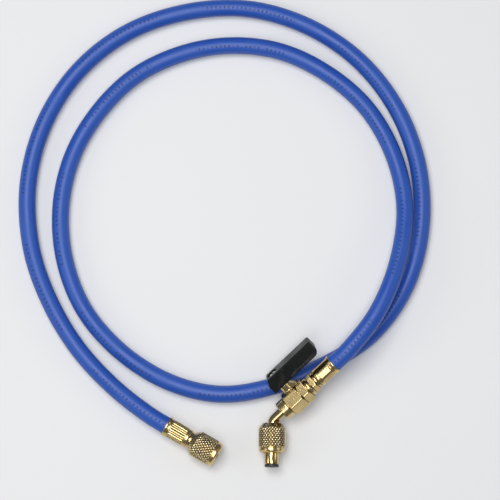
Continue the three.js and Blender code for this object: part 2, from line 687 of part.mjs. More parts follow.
function lever() {
  const heel = LEVER_HEEL;
  const toe = -LEVER_REACH;
  const half = LEVER_WIDTH / 2;
  const side = new THREE.Shape();
  side.moveTo(heel, LEVER_BOTTOM);
  side.lineTo(heel, LEVER_TOP - LEVER_HEEL_SLOPE);
  side.lineTo(heel - LEVER_HEEL_SLOPE / 2, LEVER_TOP);
  side.lineTo(toe + LEVER_TOE_EDGE, LEVER_TOP);
  side.lineTo(toe, LEVER_TOP - LEVER_TOE_EDGE);
  side.lineTo(toe, LEVER_BOTTOM + LEVER_TOE_CHAMFER);
  side.lineTo(toe + LEVER_TOE_CHAMFER, LEVER_BOTTOM);
  side.closePath();
  const profile = solid(geometryOf(extruded(side, -half, half)).rotateY(-Math.PI / 2));
  const plan = new THREE.Shape();
  plan.moveTo(-half, toe + LEVER_CORNER);
  plan.absarc(-half + LEVER_CORNER, toe + LEVER_CORNER, LEVER_CORNER, Math.PI, 1.5 * Math.PI);
  plan.absarc(half - LEVER_CORNER, toe + LEVER_CORNER, LEVER_CORNER, -0.5 * Math.PI, 0);
  const [heelX, heelY] = [half - LEVER_HEEL_CORNER, heel - LEVER_HEEL_CORNER];
  plan.absarc(heelX, heelY, LEVER_HEEL_CORNER, 0, 0.5 * Math.PI);
  plan.absarc(-heelX, heelY, LEVER_HEEL_CORNER, 0.5 * Math.PI, Math.PI);
  plan.closePath();
  const outline = geometryOf(extruded(plan, -LEVER_TOP - 1, -LEVER_BOTTOM + 1)).rotateX(Math.PI / 2);
  const shaft = STEM_DIAMETER / 2 + GAP;
  const flats = STEM_FLATS / 2 + GAP;
  const keyed = standing(rod(2 * shaft, LEVER_BOTTOM - 1, STEM_TOP + GAP), 0)
    .intersect(block([-shaft, 0, -flats], [shaft, LEVER_TOP, flats]));
  const web = STEM_TOP + GAP + SCREW_WEB;
  const screwHole = standing(rod(SCREW_SHANK_DIAMETER + 2 * GAP, STEM_TOP - 1, web + 1, SMALL_ROUND), 0);
  const recess = standing(rod(SCREW_HEAD_DIAMETER + 4 * GAP, web, LEVER_TOP + 1), 0);
  const body = profile
    .intersect(solid(outline))
    .subtract(keyed)
    .subtract(screwHole)
    .subtract(recess);
  return solid(geometryOf(body).translate(0, 0, STEM_AT));
}

function leverScrew() {
  const seatAt = STEM_TOP + 2 * GAP + SCREW_WEB;
  const head = SCREW_HEAD_DIAMETER / 2;
  const shank = SCREW_SHANK_DIAMETER / 2;
  const top = seatAt + SCREW_HEAD_HEIGHT;
  const tip = STEM_TOP - SCREW_SHANK_LENGTH + GAP;
  const turning = turned([
    [0, tip],
    [shank, tip],
    [shank, seatAt],
    [head, seatAt],
    [head, top - SCREW_HEAD_CROWN],
    [head - SCREW_HEAD_CROWN_WIDTH, top],
    [0, top],
  ]);
  const slotHalf = SCREW_SLOT_WIDTH / 2;
  const slot = block([-head - 1, -slotHalf, top - SCREW_SLOT_DEPTH], [head + 1, slotHalf, top + 1]);
  return standing(turning.subtract(slot), STEM_AT);
}

// The outlet's frame: at the bend's corner, with Z along the nipple.
function outletFrame() {
  const clock = THREE.MathUtils.degToRad(ELBOW_CLOCK);
  const axis = new THREE.Vector3(Math.sin(clock), -Math.cos(clock), 0);
  const turn = new THREE.Matrix4().makeRotationAxis(axis, THREE.MathUtils.degToRad(ELBOW_ANGLE));
  return new THREE.Matrix4().makeTranslation(0, 0, ELBOW_AT).multiply(turn);
}

function elbowNipple(frame) {
  const corner = new THREE.Vector3(0, 0, ELBOW_AT);
  const tangent = ELBOW_RADIUS * Math.tan(THREE.MathUtils.degToRad(ELBOW_ANGLE / 2));
  const bendFrom = new THREE.Vector3(0, 0, ELBOW_AT - tangent);
  const bendTo = new THREE.Vector3(0, 0, tangent).applyMatrix4(frame);
  const path = new THREE.CurvePath();
  path.add(new THREE.LineCurve3(new THREE.Vector3(0, 0, ELBOW_FROM), bendFrom));
  path.add(new THREE.QuadraticBezierCurve3(bendFrom, corner, bendTo));
  const seat = new THREE.Vector3(0, 0, NIPPLE_SHOULDER + COLLAR_EDGE).applyMatrix4(frame);
  path.add(new THREE.LineCurve3(bendTo, seat));
  const seatEnd = geometryOf(nipple(NIPPLE_SHOULDER)).applyMatrix4(frame);
  const pipe = tube(path, NECK_DIAMETER, ELBOW_BORE, ELBOW_SIDES, ELBOW_BORE_SIDES, ELBOW_STEPS);
  return pipe.add(solid(seatEnd));
}

const NIPPLE_SHOULDER = NIPPLE_REACH - NIPPLE_LENGTH;
const STRAIGHT_NUT_AT = STRAIGHT_FERRULE_END + 2 * GAP + STEM_COLLAR_WIDTH;
const STRAIGHT_SHOULDER = STRAIGHT_NUT_AT + NUT_REAR_WALL + GAP;

const straightEnd = fittings(HOSE_ROUTE[0], STRAIGHT_HEADING, STRAIGHT_PITCH, 0);
const valveEnd = fittings(HOSE_ROUTE[HOSE_ROUTE.length - 1], VALVE_HEADING, VALVE_PITCH, VALVE_ROLL);

const straightNut = piece('straight_nut', nut(), 'brass');
straightNut.position.z = STRAIGHT_NUT_AT;
const straightGasket = piece('straight_gasket', gasket(), 'gasket');
straightGasket.position.z = STRAIGHT_SHOULDER + NIPPLE_LENGTH;
straightEnd.add(
  piece('straight_ferrule', ferrule(STRAIGHT_FERRULE_END), 'brass'),
  piece('straight_stem', straightStem(STRAIGHT_SHOULDER), 'brass'),
  straightNut,
  straightGasket,
);

const outlet = new THREE.Group();
outlet.applyMatrix4(outletFrame());
const valveNut = piece('valve_nut', nut(), 'brass');
valveNut.position.z = NUT_BEHIND;
const valveGasket = piece('valve_gasket', gasket(), 'gasket');
valveGasket.position.z = NIPPLE_REACH;
const pin = piece('depressor', depressor(), 'steel');
pin.position.z = NIPPLE_REACH - GASKET_SPIGOT_LENGTH - GAP;
outlet.add(valveNut, valveGasket, pin);

valveEnd.add(
  piece('valve_ferrule', ferrule(VALVE_FERRULE_END), 'brass'),
  piece('hose_tail', hoseTail(), 'brass'),
  piece('valve_end_cap', endCap(), 'brass'),
  piece('valve_body', valveBody(), 'brass'),
  piece('rear_seat', seat(-1), 'seat'),
  piece('front_seat', seat(1), 'seat'),
  piece('valve_ball', ball(), 'steel'),
  piece('valve_spindle', spindle(), 'brass'),
  piece('lever', lever(), 'lever'),
  piece('lever_screw', leverScrew(), 'steel'),
  piece('elbow_nipple', elbowNipple(outletFrame()), 'brass'),
  outlet,
);

const model = new THREE.Group();
model.add(piece('hose', hose(straightEnd, valveEnd), 'hose'), straightEnd, valveEnd);

export default model;
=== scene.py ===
"""A refrigerant charging hose, lying in two loose turns: a blue rubber hose with a crimped brass end
and a knurled flare nut on one side, and a quarter-turn ball valve with a bent outlet on the other."""
from math import atan2, ceil, cos, pi, radians, sin, sqrt, tan

import bmesh
import bpy
from mathutils import Matrix, Vector


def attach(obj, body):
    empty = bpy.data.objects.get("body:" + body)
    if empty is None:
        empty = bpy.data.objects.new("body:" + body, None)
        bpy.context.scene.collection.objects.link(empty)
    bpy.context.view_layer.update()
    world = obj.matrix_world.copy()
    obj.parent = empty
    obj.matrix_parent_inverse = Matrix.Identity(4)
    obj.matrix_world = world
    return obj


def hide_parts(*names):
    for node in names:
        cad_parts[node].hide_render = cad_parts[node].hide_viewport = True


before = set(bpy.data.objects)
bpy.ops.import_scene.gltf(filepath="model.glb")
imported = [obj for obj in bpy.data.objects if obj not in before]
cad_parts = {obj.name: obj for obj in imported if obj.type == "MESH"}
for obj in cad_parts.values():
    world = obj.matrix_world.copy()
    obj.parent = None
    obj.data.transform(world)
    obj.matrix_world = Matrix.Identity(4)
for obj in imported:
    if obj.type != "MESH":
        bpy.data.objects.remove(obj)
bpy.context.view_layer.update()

# The camera looks almost straight down from a metre and a half through a long lens, and leans a
# little towards the fittings.
CAMERA_TARGET = Vector((-0.0005, 0.0995, 0.0055))
CAMERA_DISTANCE = 1.5
CAMERA_LEAN = radians(8)
CAMERA_SENSOR = 36
WIDTH_IN_VIEW = 0.322


def linked(name, data):
    """A new object in the scene."""
    thing = bpy.data.objects.new(name, data)
    bpy.context.scene.collection.objects.link(thing)
    return thing


lens = bpy.data.cameras.new("camera")
lens.sensor_width = CAMERA_SENSOR
lens.lens = CAMERA_SENSOR * CAMERA_DISTANCE / WIDTH_IN_VIEW
lens.clip_start = 0.05
lens.clip_end = 20
camera = linked("camera", lens)
camera.location = CAMERA_TARGET + CAMERA_DISTANCE * Vector((0, -sin(CAMERA_LEAN), cos(CAMERA_LEAN)))
camera.rotation_euler = (CAMERA_LEAN, 0, 0)
bpy.context.scene.camera = camera

# The hose is blue rubber, extruded in one length and crimped at both ends. It lies in two turns,
# and its valve end climbs on to its own first turn. A row of ink ticks runs along it.
MM = 0.001
HOSE_DIAMETER = 11
HOSE_BORE = 5
HOSE_ROUTE = [
    (-52.5, -14.5, 7.8), (-66, -6, 7.3), (-87, 10.5, 6.2), (-110.5, 35.5, 5.7),
    (-129.5, 67, 5.6), (-141.5, 101.5, 5.6), (-144, 142.5, 5.6), (-134, 182.5, 5.6),
    (-112, 217.5, 5.6), (-80, 243, 5.6), (-41.5, 256.5, 5.6), (-1.5, 258.5, 5.6),
    (37, 247, 5.6), (70, 224.5, 5.6), (94.5, 192.5, 5.6), (108, 155.5, 5.6),
    (110, 115.5, 5.6), (100, 77, 5.6), (77.5, 45, 5.6), (45, 24, 5.6),
    (14, 11.5, 5.6), (-19, 6.5, 5.6), (-51.5, 14, 5.6), (-83, 33.5, 5.6),
    (-107, 61, 5.6), (-120, 94, 5.6), (-122.5, 129, 5.6), (-115, 162, 5.6),
    (-98.5, 190.5, 5.6), (-75.5, 213.5, 5.6), (-46.5, 228, 5.6), (-15, 234, 5.6),
    (18, 230.5, 5.6), (48, 216.5, 5.6), (74, 194, 5.8), (91.5, 163.5, 7.3),
    (99, 128, 11.4), (94, 91, 18.2), (80, 57, 23.4), (61, 32.5, 23.3),
    (51.5, 24, 20.5),
]
HOSE_SIDES = 28
HOSE_RING_SPACING = 3
SEAM = 0.00001
CRIMPED_DIAMETER = 9.6
CRIMPED_BORE = 5.6
MOUTH_BULGE = 0.2
MOUTH_BULGE_AT = 1.5
MOUTH_BULGE_RUN = 3
CRIMP_SHOULDER = 0.7
CRIMP_FROM = 1.4
STRAIGHT_HEADING = radians(-30.5)
STRAIGHT_PITCH = radians(2)
STRAIGHT_CRIMPED = 13.7
STRAIGHT_CRIMP_MIDDLE = 7
VALVE_HEADING = radians(222.7)
VALVE_PITCH = radians(-12.2)
VALVE_ROLL = radians(20)
VALVE_CRIMPED = 11.1
VALVE_CRIMP_MIDDLE = 6
TICK_SWAY = 0.45
TICK_SWAY_LENGTH = 0.7
HOSE_BLUE = (0.014, 0.078, 0.415, 1)
HOSE_BLUE_WORN = (0.028, 0.104, 0.450, 1)
INK_BLUE = (0.006, 0.014, 0.070, 1)


def fittings_frame(origin, heading, pitch, roll):
    """Places a set of fittings: its Z runs away from the hose, its Y is the side the stem stands on."""
    away = Vector((cos(heading) * cos(pitch), sin(heading) * cos(pitch), sin(pitch)))
    right = Vector((sin(heading), -cos(heading), 0))
    side = right * cos(roll) + right.cross(away) * sin(roll)
    across = side.cross(away)
    turn = Matrix((across, side, away)).transposed().to_4x4()
    return Matrix.Translation(Vector(origin) * MM) @ turn @ Matrix.Scale(MM, 4)


def flowing(points, steps=12):
    """A smooth line through the points: a centripetal Catmull-Rom curve."""
    points = [Vector(p) for p in points]
    points = [2 * points[0] - points[1]] + points + [2 * points[-1] - points[-2]]
    line = []
    for before, start, end, after in zip(points, points[1:], points[2:], points[3:]):
        lead, span, trail = (sqrt((b - a).length) for a, b in ((before, start), (start, end), (end, after)))
        leave = (start - before) / lead - (end - before) / (lead + span) + (end - start) / span
        arrive = (end - start) / span - (after - start) / (span + trail) + (after - end) / trail
        leave, arrive = leave * span, arrive * span
        for i in range(steps):
            t = i / steps
            line.append(
                start + leave * t
                + (3 * (end - start) - 2 * leave - arrive) * t ** 2
                + (2 * (start - end) + leave + arrive) * t ** 3
            )
    return line + [points[-2]]


def stations(line, spacing):
    """Evenly spaced places on a line, each with the way the line runs there and how far along it is."""
    lengths = [0]
    for a, b in zip(line, line[1:]):
        lengths.append(lengths[-1] + (b - a).length)
    count = ceil(lengths[-1] / spacing)
    placed, k = [], 0
    for i in range(count + 1):
        along = lengths[-1] * i / count
        while k < len(line) - 2 and lengths[k + 1] < along:
            k += 1
        share = (along - lengths[k]) / (lengths[k + 1] - lengths[k])
        placed.append((line[k].lerp(line[k + 1], share), (line[k + 1] - line[k]).normalized(), along))
    return placed


def loft(name, rings, along):
    """A closed skin over rings of points, with a map that runs around (0 to 1) and along (metres)."""
    sides, count = len(rings[0]), len(rings)
    mesh = bpy.data.meshes.new(name)
    faces, spots = [], []
    for j in range(count):
        here, there = j * sides, (j + 1) % count * sides
        ends = along[j], along[j + 1] if j + 1 < count else along[j]
        for i in range(sides):
            k = (i + 1) % sides
            faces.append((here + i, here + k, there + k, there + i))
            spots += [(i / sides, ends[0]), ((i + 1) / sides, ends[0])]
            spots += [((i + 1) / sides, ends[1]), (i / sides, ends[1])]
    mesh.from_pydata([p for ring in rings for p in ring], [], faces)
    layer = mesh.uv_layers.new(name="lay")
    for spot, loop in zip(spots, layer.data):
        loop.uv = spot
    return linked(name, mesh)


def settled(piece):
    """Makes what a piece's modifiers do to it a part of its mesh."""
    bpy.context.view_layer.update()
    graph = bpy.context.evaluated_depsgraph_get()
    result = bpy.data.meshes.new_from_object(piece.evaluated_get(graph))
    piece.modifiers.clear()
    piece.data = result


def surfaced(piece, material, crease=32, flat_faced=False):
    """Closes the skin, turns its faces out, marks its sharp edges and notes how proud each point stands."""
    body = bmesh.new()
    body.from_mesh(piece.data)
    bmesh.ops.remove_doubles(body, verts=body.verts, dist=SEAM)
    bmesh.ops.recalc_face_normals(body, faces=body.faces)
    body.normal_update()
    relief = []
    for point in body.verts:
        runs = [(edge.other_vert(point).co - point.co).normalized() for edge in point.link_edges]
        dips = [run.dot(point.normal) for run in runs]
        relief.append(0.5 - sum(dips) / max(len(dips), 1))
    body.to_mesh(piece.data)
    body.free()
    layer = piece.data.attributes.new("relief", "FLOAT", "POINT")
    layer.data.foreach_set("value", [min(max(value, 0), 1) for value in relief])
    piece.data.shade_smooth()
    piece.data.set_sharp_from_angle(angle=radians(crease))
    if flat_faced:
        modifier = piece.modifiers.new("flats", "WEIGHTED_NORMAL")
        modifier.keep_sharp = True
        modifier.weight = 100
        settled(piece)
    piece.data.materials.clear()
    piece.data.materials.append(material)
    return piece


def add(tree, kind, inputs=None, **settings):
    """A node in the tree: its inputs are values or other nodes' sockets, its settings its own choices."""
    node = tree.nodes.new(kind)
    for key, value in settings.items():
        setattr(node, key, value)
    for key, value in (inputs or {}).items():
        if isinstance(value, bpy.types.NodeSocket):
            tree.links.new(value, node.inputs[key])
        else:
            node.inputs[key].default_value = value
    return node


def reckon(tree, operation, *values, clamp=False):
    """The result of a sum on sockets and numbers."""
    node = add(tree, "ShaderNodeMath", dict(enumerate(values)), operation=operation, use_clamp=clamp)
    return node.outputs[0]


def times(tree, first, second):
    """Two sockets or numbers multiplied."""
    return reckon(tree, "MULTIPLY", first, second)


def noise(tree, place, scale, detail, roughness=0.5):
    """Soft noise from 0 to 1."""
    inputs = {"Vector": place, "Scale": scale, "Detail": detail, "Roughness": roughness}
    return add(tree, "ShaderNodeTexNoise", inputs).outputs["Fac"]


def laid(tree):
    """Where a place lies around its piece (0 to 1) and along it (metres)."""
    spot = add(tree, "ShaderNodeUVMap", uv_map="lay").outputs["UV"]
    split = add(tree, "ShaderNodeSeparateXYZ", {"Vector": spot})
    return split.outputs["X"], split.outputs["Y"]


def ramped(tree, value, low, high, start=0.0, end=1.0):
    """A value spread from low..high to start..end, and held there beyond."""
    inputs = {"Value": value, "From Min": low, "From Max": high, "To Min": start, "To Max": end}
    return add(tree, "ShaderNodeMapRange", inputs, clamp=True).outputs["Result"]


def mixed(tree, share, first, second):
    """One colour laid over another by a share from 0 to 1."""
    node = add(tree, "ShaderNodeMix", {"Factor": share}, data_type="RGBA")
    for socket, colour in (("A_Color", first), ("B_Color", second)):
        slot = next(s for s in node.inputs if s.identifier == socket)
        if isinstance(colour, bpy.types.NodeSocket):
            tree.links.new(colour, slot)
        else:
            slot.default_value = colour
    return next(s for s in node.outputs if s.identifier == "Result_Color")


def effect(name, inputs, outputs):
    """An effect that several finishes share: its tree, its inputs and its outputs."""
    tree = bpy.data.node_groups.new(name, "ShaderNodeTree")
    for label, value in inputs.items():
        kind = "NodeSocketColor" if isinstance(value, tuple) else "NodeSocketFloat"
        tree.interface.new_socket(label, in_out="INPUT", socket_type=kind).default_value = value
    for label in outputs:
        kind = "NodeSocketColor" if label == "Color" else "NodeSocketFloat"
        tree.interface.new_socket(label, in_out="OUTPUT", socket_type=kind)
    return tree, tree.nodes.new("NodeGroupInput").outputs, tree.nodes.new("NodeGroupOutput").inputs


def use(tree, group, **values):
    """An effect placed in a finish with values of its own; underscores stand for spaces in its inputs."""
    node = add(tree, "ShaderNodeGroup", node_tree=group)
    for key, value in values.items():
        socket = node.inputs[key.replace("_", " ")]
        if isinstance(value, bpy.types.NodeSocket):
            tree.links.new(value, socket)
        else:
            socket.default_value = value
    return node.outputs


def finish(name, **constants):
    """A new material with its shader's plain values set."""
    material = bpy.data.materials.new(name)
    material.use_nodes = True
    shader = material.node_tree.nodes["Principled BSDF"]
    for key, value in constants.items():
        shader.inputs[key.replace("_", " ")].default_value = value
    return material, material.node_tree, shader


def coated(tree, shader, colour, roughness, height=None, strength=0.3, depth=0.00005):
    """Gives a finish its colour, its roughness and, with a height, its fine relief."""
    tree.links.new(colour, shader.inputs["Base Color"])
    tree.links.new(roughness, shader.inputs["Roughness"])
    if height is not None:
        bump = add(tree, "ShaderNodeBump", {"Height": height, "Strength": strength, "Distance": depth})
        tree.links.new(bump.outputs["Normal"], shader.inputs["Normal"])


def patches_effect():
    """Soft blotches of handling: finger marks, dust and uneven shine, at two scales."""
    tree, given, out = effect("patches", {"Size": 0.01, "Contrast": 1.0}, ["Mask", "Fine"])
    place = add(tree, "ShaderNodeTexCoord").outputs["Object"]
    finer, steepness = 9, 3
    broad = noise(tree, place, reckon(tree, "DIVIDE", 1, given["Size"]), 3, 0.55)
    fine = noise(tree, place, reckon(tree, "DIVIDE", finer, given["Size"]), 2, 0.6)
    swing = times(tree, reckon(tree, "SUBTRACT", broad, 0.5), given["Contrast"])
    tree.links.new(reckon(tree, "MULTIPLY_ADD", swing, steepness, 0.5, clamp=True), out["Mask"])
    tree.links.new(fine, out["Fine"])
    return tree


def grain_effect():
    """The fine skin of moulded or extruded rubber and nylon, with a few scuffs."""
    tree, given, out = effect("grain", {"Grain Size": 0.0003, "Scuffs": 0.3}, ["Height", "Scuff Mask"])
    place = add(tree, "ShaderNodeTexCoord").outputs["Object"]
    turn, stretch, scuff_depth = (0.3, 0.5, 0.9), (900, 140, 500), 0.6
    skin = noise(tree, place, reckon(tree, "DIVIDE", 1, given["Grain Size"]), 2)
    drawn = add(tree, "ShaderNodeMapping", {"Vector": place, "Rotation": turn, "Scale": stretch})
    scuff = ramped(tree, noise(tree, drawn.outputs["Vector"], 1, 3), 0.62, 0.72)
    mask = times(tree, scuff, given["Scuffs"])
    tree.links.new(reckon(tree, "SUBTRACT", skin, times(tree, mask, scuff_depth)), out["Height"])
    tree.links.new(mask, out["Scuff Mask"])
    return tree


PATCHES = patches_effect()
GRAIN = grain_effect()


def striped(tree, value, pitch, share):
    """1 on the first share of every pitch, 0 on the rest."""
    return reckon(tree, "LESS_THAN", reckon(tree, "FRACT", reckon(tree, "DIVIDE", value, pitch)), share)


def hose_rubber():
    """Blue rubber with a faint bloom, fine extrusion lines and a row of dark ink ticks."""
    tick_pitch, tick_width, tick_height = 0.0028, 0.34, 0.024
    group_pitch, group_share = 0.092, 0.66
    bloom, scuffing, ink_strength, ink_dullness = 0.6, 0.25, 0.72, 0.15
    lines_around, lines_along, line_height = 70, 25, 0.8
    material, tree, shader = finish("hose rubber", Roughness=0.42)
    around, along = laid(tree)
    handled = use(tree, PATCHES, Size=0.03, Contrast=0.9)
    skin = use(tree, GRAIN, Grain_Size=0.0005, Scuffs=0.5)
    tick = striped(tree, along, tick_pitch, tick_width)
    group = striped(tree, along, group_pitch, group_share)
    off_row = reckon(tree, "ABSOLUTE", reckon(tree, "SUBTRACT", around, 0.5))
    row = reckon(tree, "LESS_THAN", off_row, tick_height)
    worn = ramped(tree, handled["Fine"], 0.36, 0.46)
    ink = times(tree, times(tree, tick, group), times(tree, row, worn))
    blue = mixed(tree, times(tree, handled["Mask"], bloom), HOSE_BLUE, HOSE_BLUE_WORN)
    blue = mixed(tree, times(tree, skin["Scuff Mask"], scuffing), blue, HOSE_BLUE_WORN)
    colour = mixed(tree, times(tree, ink, ink_strength), blue, INK_BLUE)
    shine = ramped(tree, handled["Mask"], 0, 1, 0.36, 0.5)
    roughness = reckon(tree, "ADD", shine, times(tree, ink, ink_dullness))
    drawn = {"X": times(tree, around, lines_around), "Y": times(tree, along, lines_along)}
    lines = noise(tree, add(tree, "ShaderNodeCombineXYZ", drawn).outputs[0], 1, 1)
    height = reckon(tree, "ADD", skin["Height"], times(tree, lines, line_height))
    coated(tree, shader, colour, roughness, height, 0.25, 0.0002)
    return material


STRAIGHT = fittings_frame(HOSE_ROUTE[0], STRAIGHT_HEADING, STRAIGHT_PITCH, 0)
VALVE = fittings_frame(HOSE_ROUTE[-1], VALVE_HEADING, VALVE_PITCH, VALVE_ROLL)


def hose_rings():
    """The hose's outer rings from one crimped end to the other, then its bore's rings back again."""
    route = stations([p * MM for p in flowing(HOSE_ROUTE)], HOSE_RING_SPACING * MM)
    length = route[-1][2]
    first, last = STRAIGHT.to_3x3().col[2].normalized(), VALVE.to_3x3().col[2].normalized()
    full, bore = HOSE_DIAMETER / 2, HOSE_BORE / 2
    tight, tight_bore = CRIMPED_DIAMETER / 2, CRIMPED_BORE / 2
    shoulder = (CRIMP_SHOULDER, (tight + full) / 2)
    crimped = [
        (STRAIGHT @ Vector((0, 0, at)), -first, -at * MM, radius, tight_bore)
        for at, radius in (
            (STRAIGHT_CRIMPED, tight), (STRAIGHT_CRIMP_MIDDLE, tight), (CRIMP_FROM, tight), shoulder)
    ]
    free = []
    for spot, way, along in route:
        near_mouth = min(along, length - along) / MM
        bulge = MOUTH_BULGE * max(0, 1 - abs(near_mouth - MOUTH_BULGE_AT) / MOUTH_BULGE_RUN)
        free.append((spot, way, along, full + bulge, bore))
    closing = [
        (VALVE @ Vector((0, 0, at)), last, length + at * MM, radius, tight_bore)
        for at, radius in (
            shoulder, (CRIMP_FROM, tight), (VALVE_CRIMP_MIDDLE, tight), (VALVE_CRIMPED, tight))
    ]
    line = crimped + free + closing
    rings, along = [], []
    for radius_of, order in ((3, line), (4, line[::-1])):
        for place in order:
            level = place[1].cross(Vector((0, 0, 1))).normalized()
            above = level.cross(place[1])
            lean = TICK_SWAY * sin(2 * pi * place[2] / TICK_SWAY_LENGTH)
            ring = []
            for i in range(HOSE_SIDES):
                angle = 2 * pi * i / HOSE_SIDES + lean
                ring.append(place[0] + (above * -cos(angle) + level * sin(angle)) * place[radius_of] * MM)
            rings.append(ring)
            along.append(place[2])
    return rings, along, [place[0] for place in line]


rings, along, centreline = hose_rings()
hose = surfaced(loft("hose_rubber", rings, along), hose_rubber())
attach(hose, "base")
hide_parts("hose")

# Each ferrule is a brass sleeve with a belled mouth, pressed down on the hose in a crimping die. The
# straight end's die left a ring of narrow ridges, the valve end's eight flats.
FERRULE_DIAMETER = 12
FERRULE_WALL = 0.9
FERRULE_END_WALL = 1.2
BELL_DIAMETER = 12.9
BELL_DEPTH = 1.3
MOUTH_CLEARANCE = 0.35
NECK_HOLE_RADIUS = 3.5
STRAIGHT_FERRULE_END = 15.5
VALVE_FERRULE_END = 12.9
CRIMP_RIDGES = 21
CRIMP_FLATS = 8
CRIMP_PRESS = 0.22
CRIMP_CLOCK = radians(14)
CRIMP_ROW = 0.2
CRIMP_SKIN = 0.2
RIDGE_DEPTH = 0.38
WAIST_DEPTH = 0.06
PAD_DEPTH = 0.16
PAD = (3.4, 9.2)
BRASS = (0.660, 0.505, 0.235, 1)
BRASS_DULL = (0.250, 0.165, 0.060, 1)
BRASS_BRIGHT = (0.880, 0.760, 0.500, 1)


def eased(outline, steps=4):
    """A closed outline of (along, radius, ease) corners, each rounded off by its ease."""
    points = []
    for i, (along, radius, ease) in enumerate(outline):
        corner = Vector((along, radius))
        before = Vector(outline[i - 1][:2]) - corner
        after = Vector(outline[(i + 1) % len(outline)][:2]) - corner
        ease = min(ease, 0.49 * before.length, 0.49 * after.length)
        if ease == 0:
            points.append((along, radius))
            continue
        start, end = corner + before.normalized() * ease, corner + after.normalized() * ease
        for k in range(steps + 1):
            t = k / steps
            points.append(tuple(start * (1 - t) ** 2 + corner * 2 * t * (1 - t) + end * t ** 2))
    return points


def turned(name, outline, place, sides=96, reach=None):
    """An outline of (along, radius) points in millimetres, turned about Z; reach reshapes a radius."""
    rings, along, travelled = [], [], 0
    for j, (at, radius) in enumerate(outline):
        if j:
            travelled += (Vector((at, radius)) - Vector(outline[j - 1])).length * MM
        ring = []
        for i in range(sides):
            angle = 2 * pi * i / sides
            far = reach(angle, at, radius) if reach else radius
            ring.append(place @ Vector((far * cos(angle), far * sin(angle), at)))
        rings.append(ring)
        along.append(travelled)
    return loft(name, rings, along)


def between(value, low, high, run):
    """1 between low and high, falling smoothly to 0 over a run inside each end."""
    share = min(max((value - low) / run, 0), max((high - value) / run, 0), 1)
    return share * share * (3 - 2 * share)


def ferrule_outline(end, crimp):
    """The sleeve's section, with extra rows where the crimp runs out."""
    outer, bell = FERRULE_DIAMETER / 2, BELL_DIAMETER / 2
    inner, wall = outer - FERRULE_WALL, end - FERRULE_END_WALL
    mouth_bore = HOSE_DIAMETER / 2 + MOUTH_CLEARANCE
    rows = [crimp[0] + CRIMP_ROW * i for i in range(6)]
    rows += [crimp[1] - CRIMP_ROW * i for i in range(5, -1, -1)]
    return eased([
        (-BELL_DEPTH, mouth_bore, 0.12), (-BELL_DEPTH, bell, 0.4), (-0.3, bell, 0.5), (0.6, outer, 0.5),
        *((at, outer, 0) for at in rows),
        (crimp[1] + 0.3, outer - 0.1, 0.1), (crimp[1] + 0.7, outer, 0.15), (end, outer, 0.9),
        (end, NECK_HOLE_RADIUS, 0.15), (wall, NECK_HOLE_RADIUS, 0),
        (wall, inner, 0), (1.3, inner, 0.2), (0.3, mouth_bore, 0.2),
    ])


def tarnish_effect():
    """Handled brass: bright where it is proud or rubbed, brown in recesses and in soft blotches."""
    colours = {"Clean": BRASS, "Dull": BRASS_DULL, "Bright": BRASS_BRIGHT}
    shares = {"Amount": 0.4, "Recesses": 1.0, "Wear": 0.5}
    tree, given, out = effect("tarnish", {**colours, **shares}, ["Color", "Dullness"])
    relief = add(tree, "ShaderNodeAttribute", attribute_name="relief").outputs["Fac"]
    soft = use(tree, PATCHES, Size=0.006, Contrast=1.2)
    deep = ramped(tree, relief, 0.5, 0.25)
    proud = ramped(tree, relief, 0.55, 0.85)
    spread = times(tree, soft["Mask"], given["Amount"])
    speck = times(tree, ramped(tree, soft["Fine"], 0.6, 0.85), times(tree, given["Amount"], 0.5))
    held = times(tree, deep, given["Recesses"])
    dullness = reckon(tree, "ADD", reckon(tree, "ADD", spread, speck), held, clamp=True)
    rubbed = times(tree, proud, given["Wear"])
    darkened = mixed(tree, dullness, given["Clean"], given["Dull"])
    tree.links.new(mixed(tree, rubbed, darkened, given["Bright"]), out["Color"])
    tree.links.new(reckon(tree, "SUBTRACT", dullness, rubbed, clamp=True), out["Dullness"])
    return tree


def toolmarks_effect():
    """Fine rings that a lathe tool leaves, evenly pitched along the piece and never quite regular."""
    tree, given, out = effect("toolmarks", {"Pitch": 0.0003, "Unevenness": 0.5}, ["Height"])
    ring_height, roughening = 0.3, 4
    around, along = laid(tree)
    turns = reckon(tree, "DIVIDE", along, given["Pitch"])
    wave = reckon(tree, "SINE", times(tree, turns, 2 * pi))
    spot = add(tree, "ShaderNodeCombineXYZ", {"X": around, "Y": turns}).outputs[0]
    uneven = noise(tree, spot, 1.3, 3, 0.7)
    rough = times(tree, reckon(tree, "SUBTRACT", uneven, 0.5), given["Unevenness"])
    height = reckon(tree, "MULTIPLY_ADD", rough, roughening, times(tree, wave, ring_height))
    tree.links.new(height, out["Height"])
    return tree


TARNISH = tarnish_effect()
TOOLMARKS = toolmarks_effect()


def brass(name, dull, recesses, wear, marks, shine=(0.2, 0.42), pitch=0.0003, darkened=BRASS_DULL):
    """Brass with its own share of tarnish, wear, shine and lathe marks; on the knurled brass its darkest
    colour is also painted shade.
    """
    material, tree, shader = finish(name, Metallic=1.0, Roughness=shine[0])
    skin = use(tree, TARNISH, Amount=dull, Recesses=recesses, Wear=wear, Dull=darkened)
    rings = use(tree, TOOLMARKS, Pitch=pitch, Unevenness=0.6)
    roughness = ramped(tree, skin["Dullness"], 0, 1, *shine)
    coated(tree, shader, skin["Color"], roughness, rings["Height"], marks, 0.00002)
    return material


crimped_brass = brass("crimped brass", dull=0.3, recesses=1.0, wear=0.6, marks=0.15)
STRAIGHT_CRIMP = (1.6, 13.0)
VALVE_CRIMP = (1.6, 10.6)


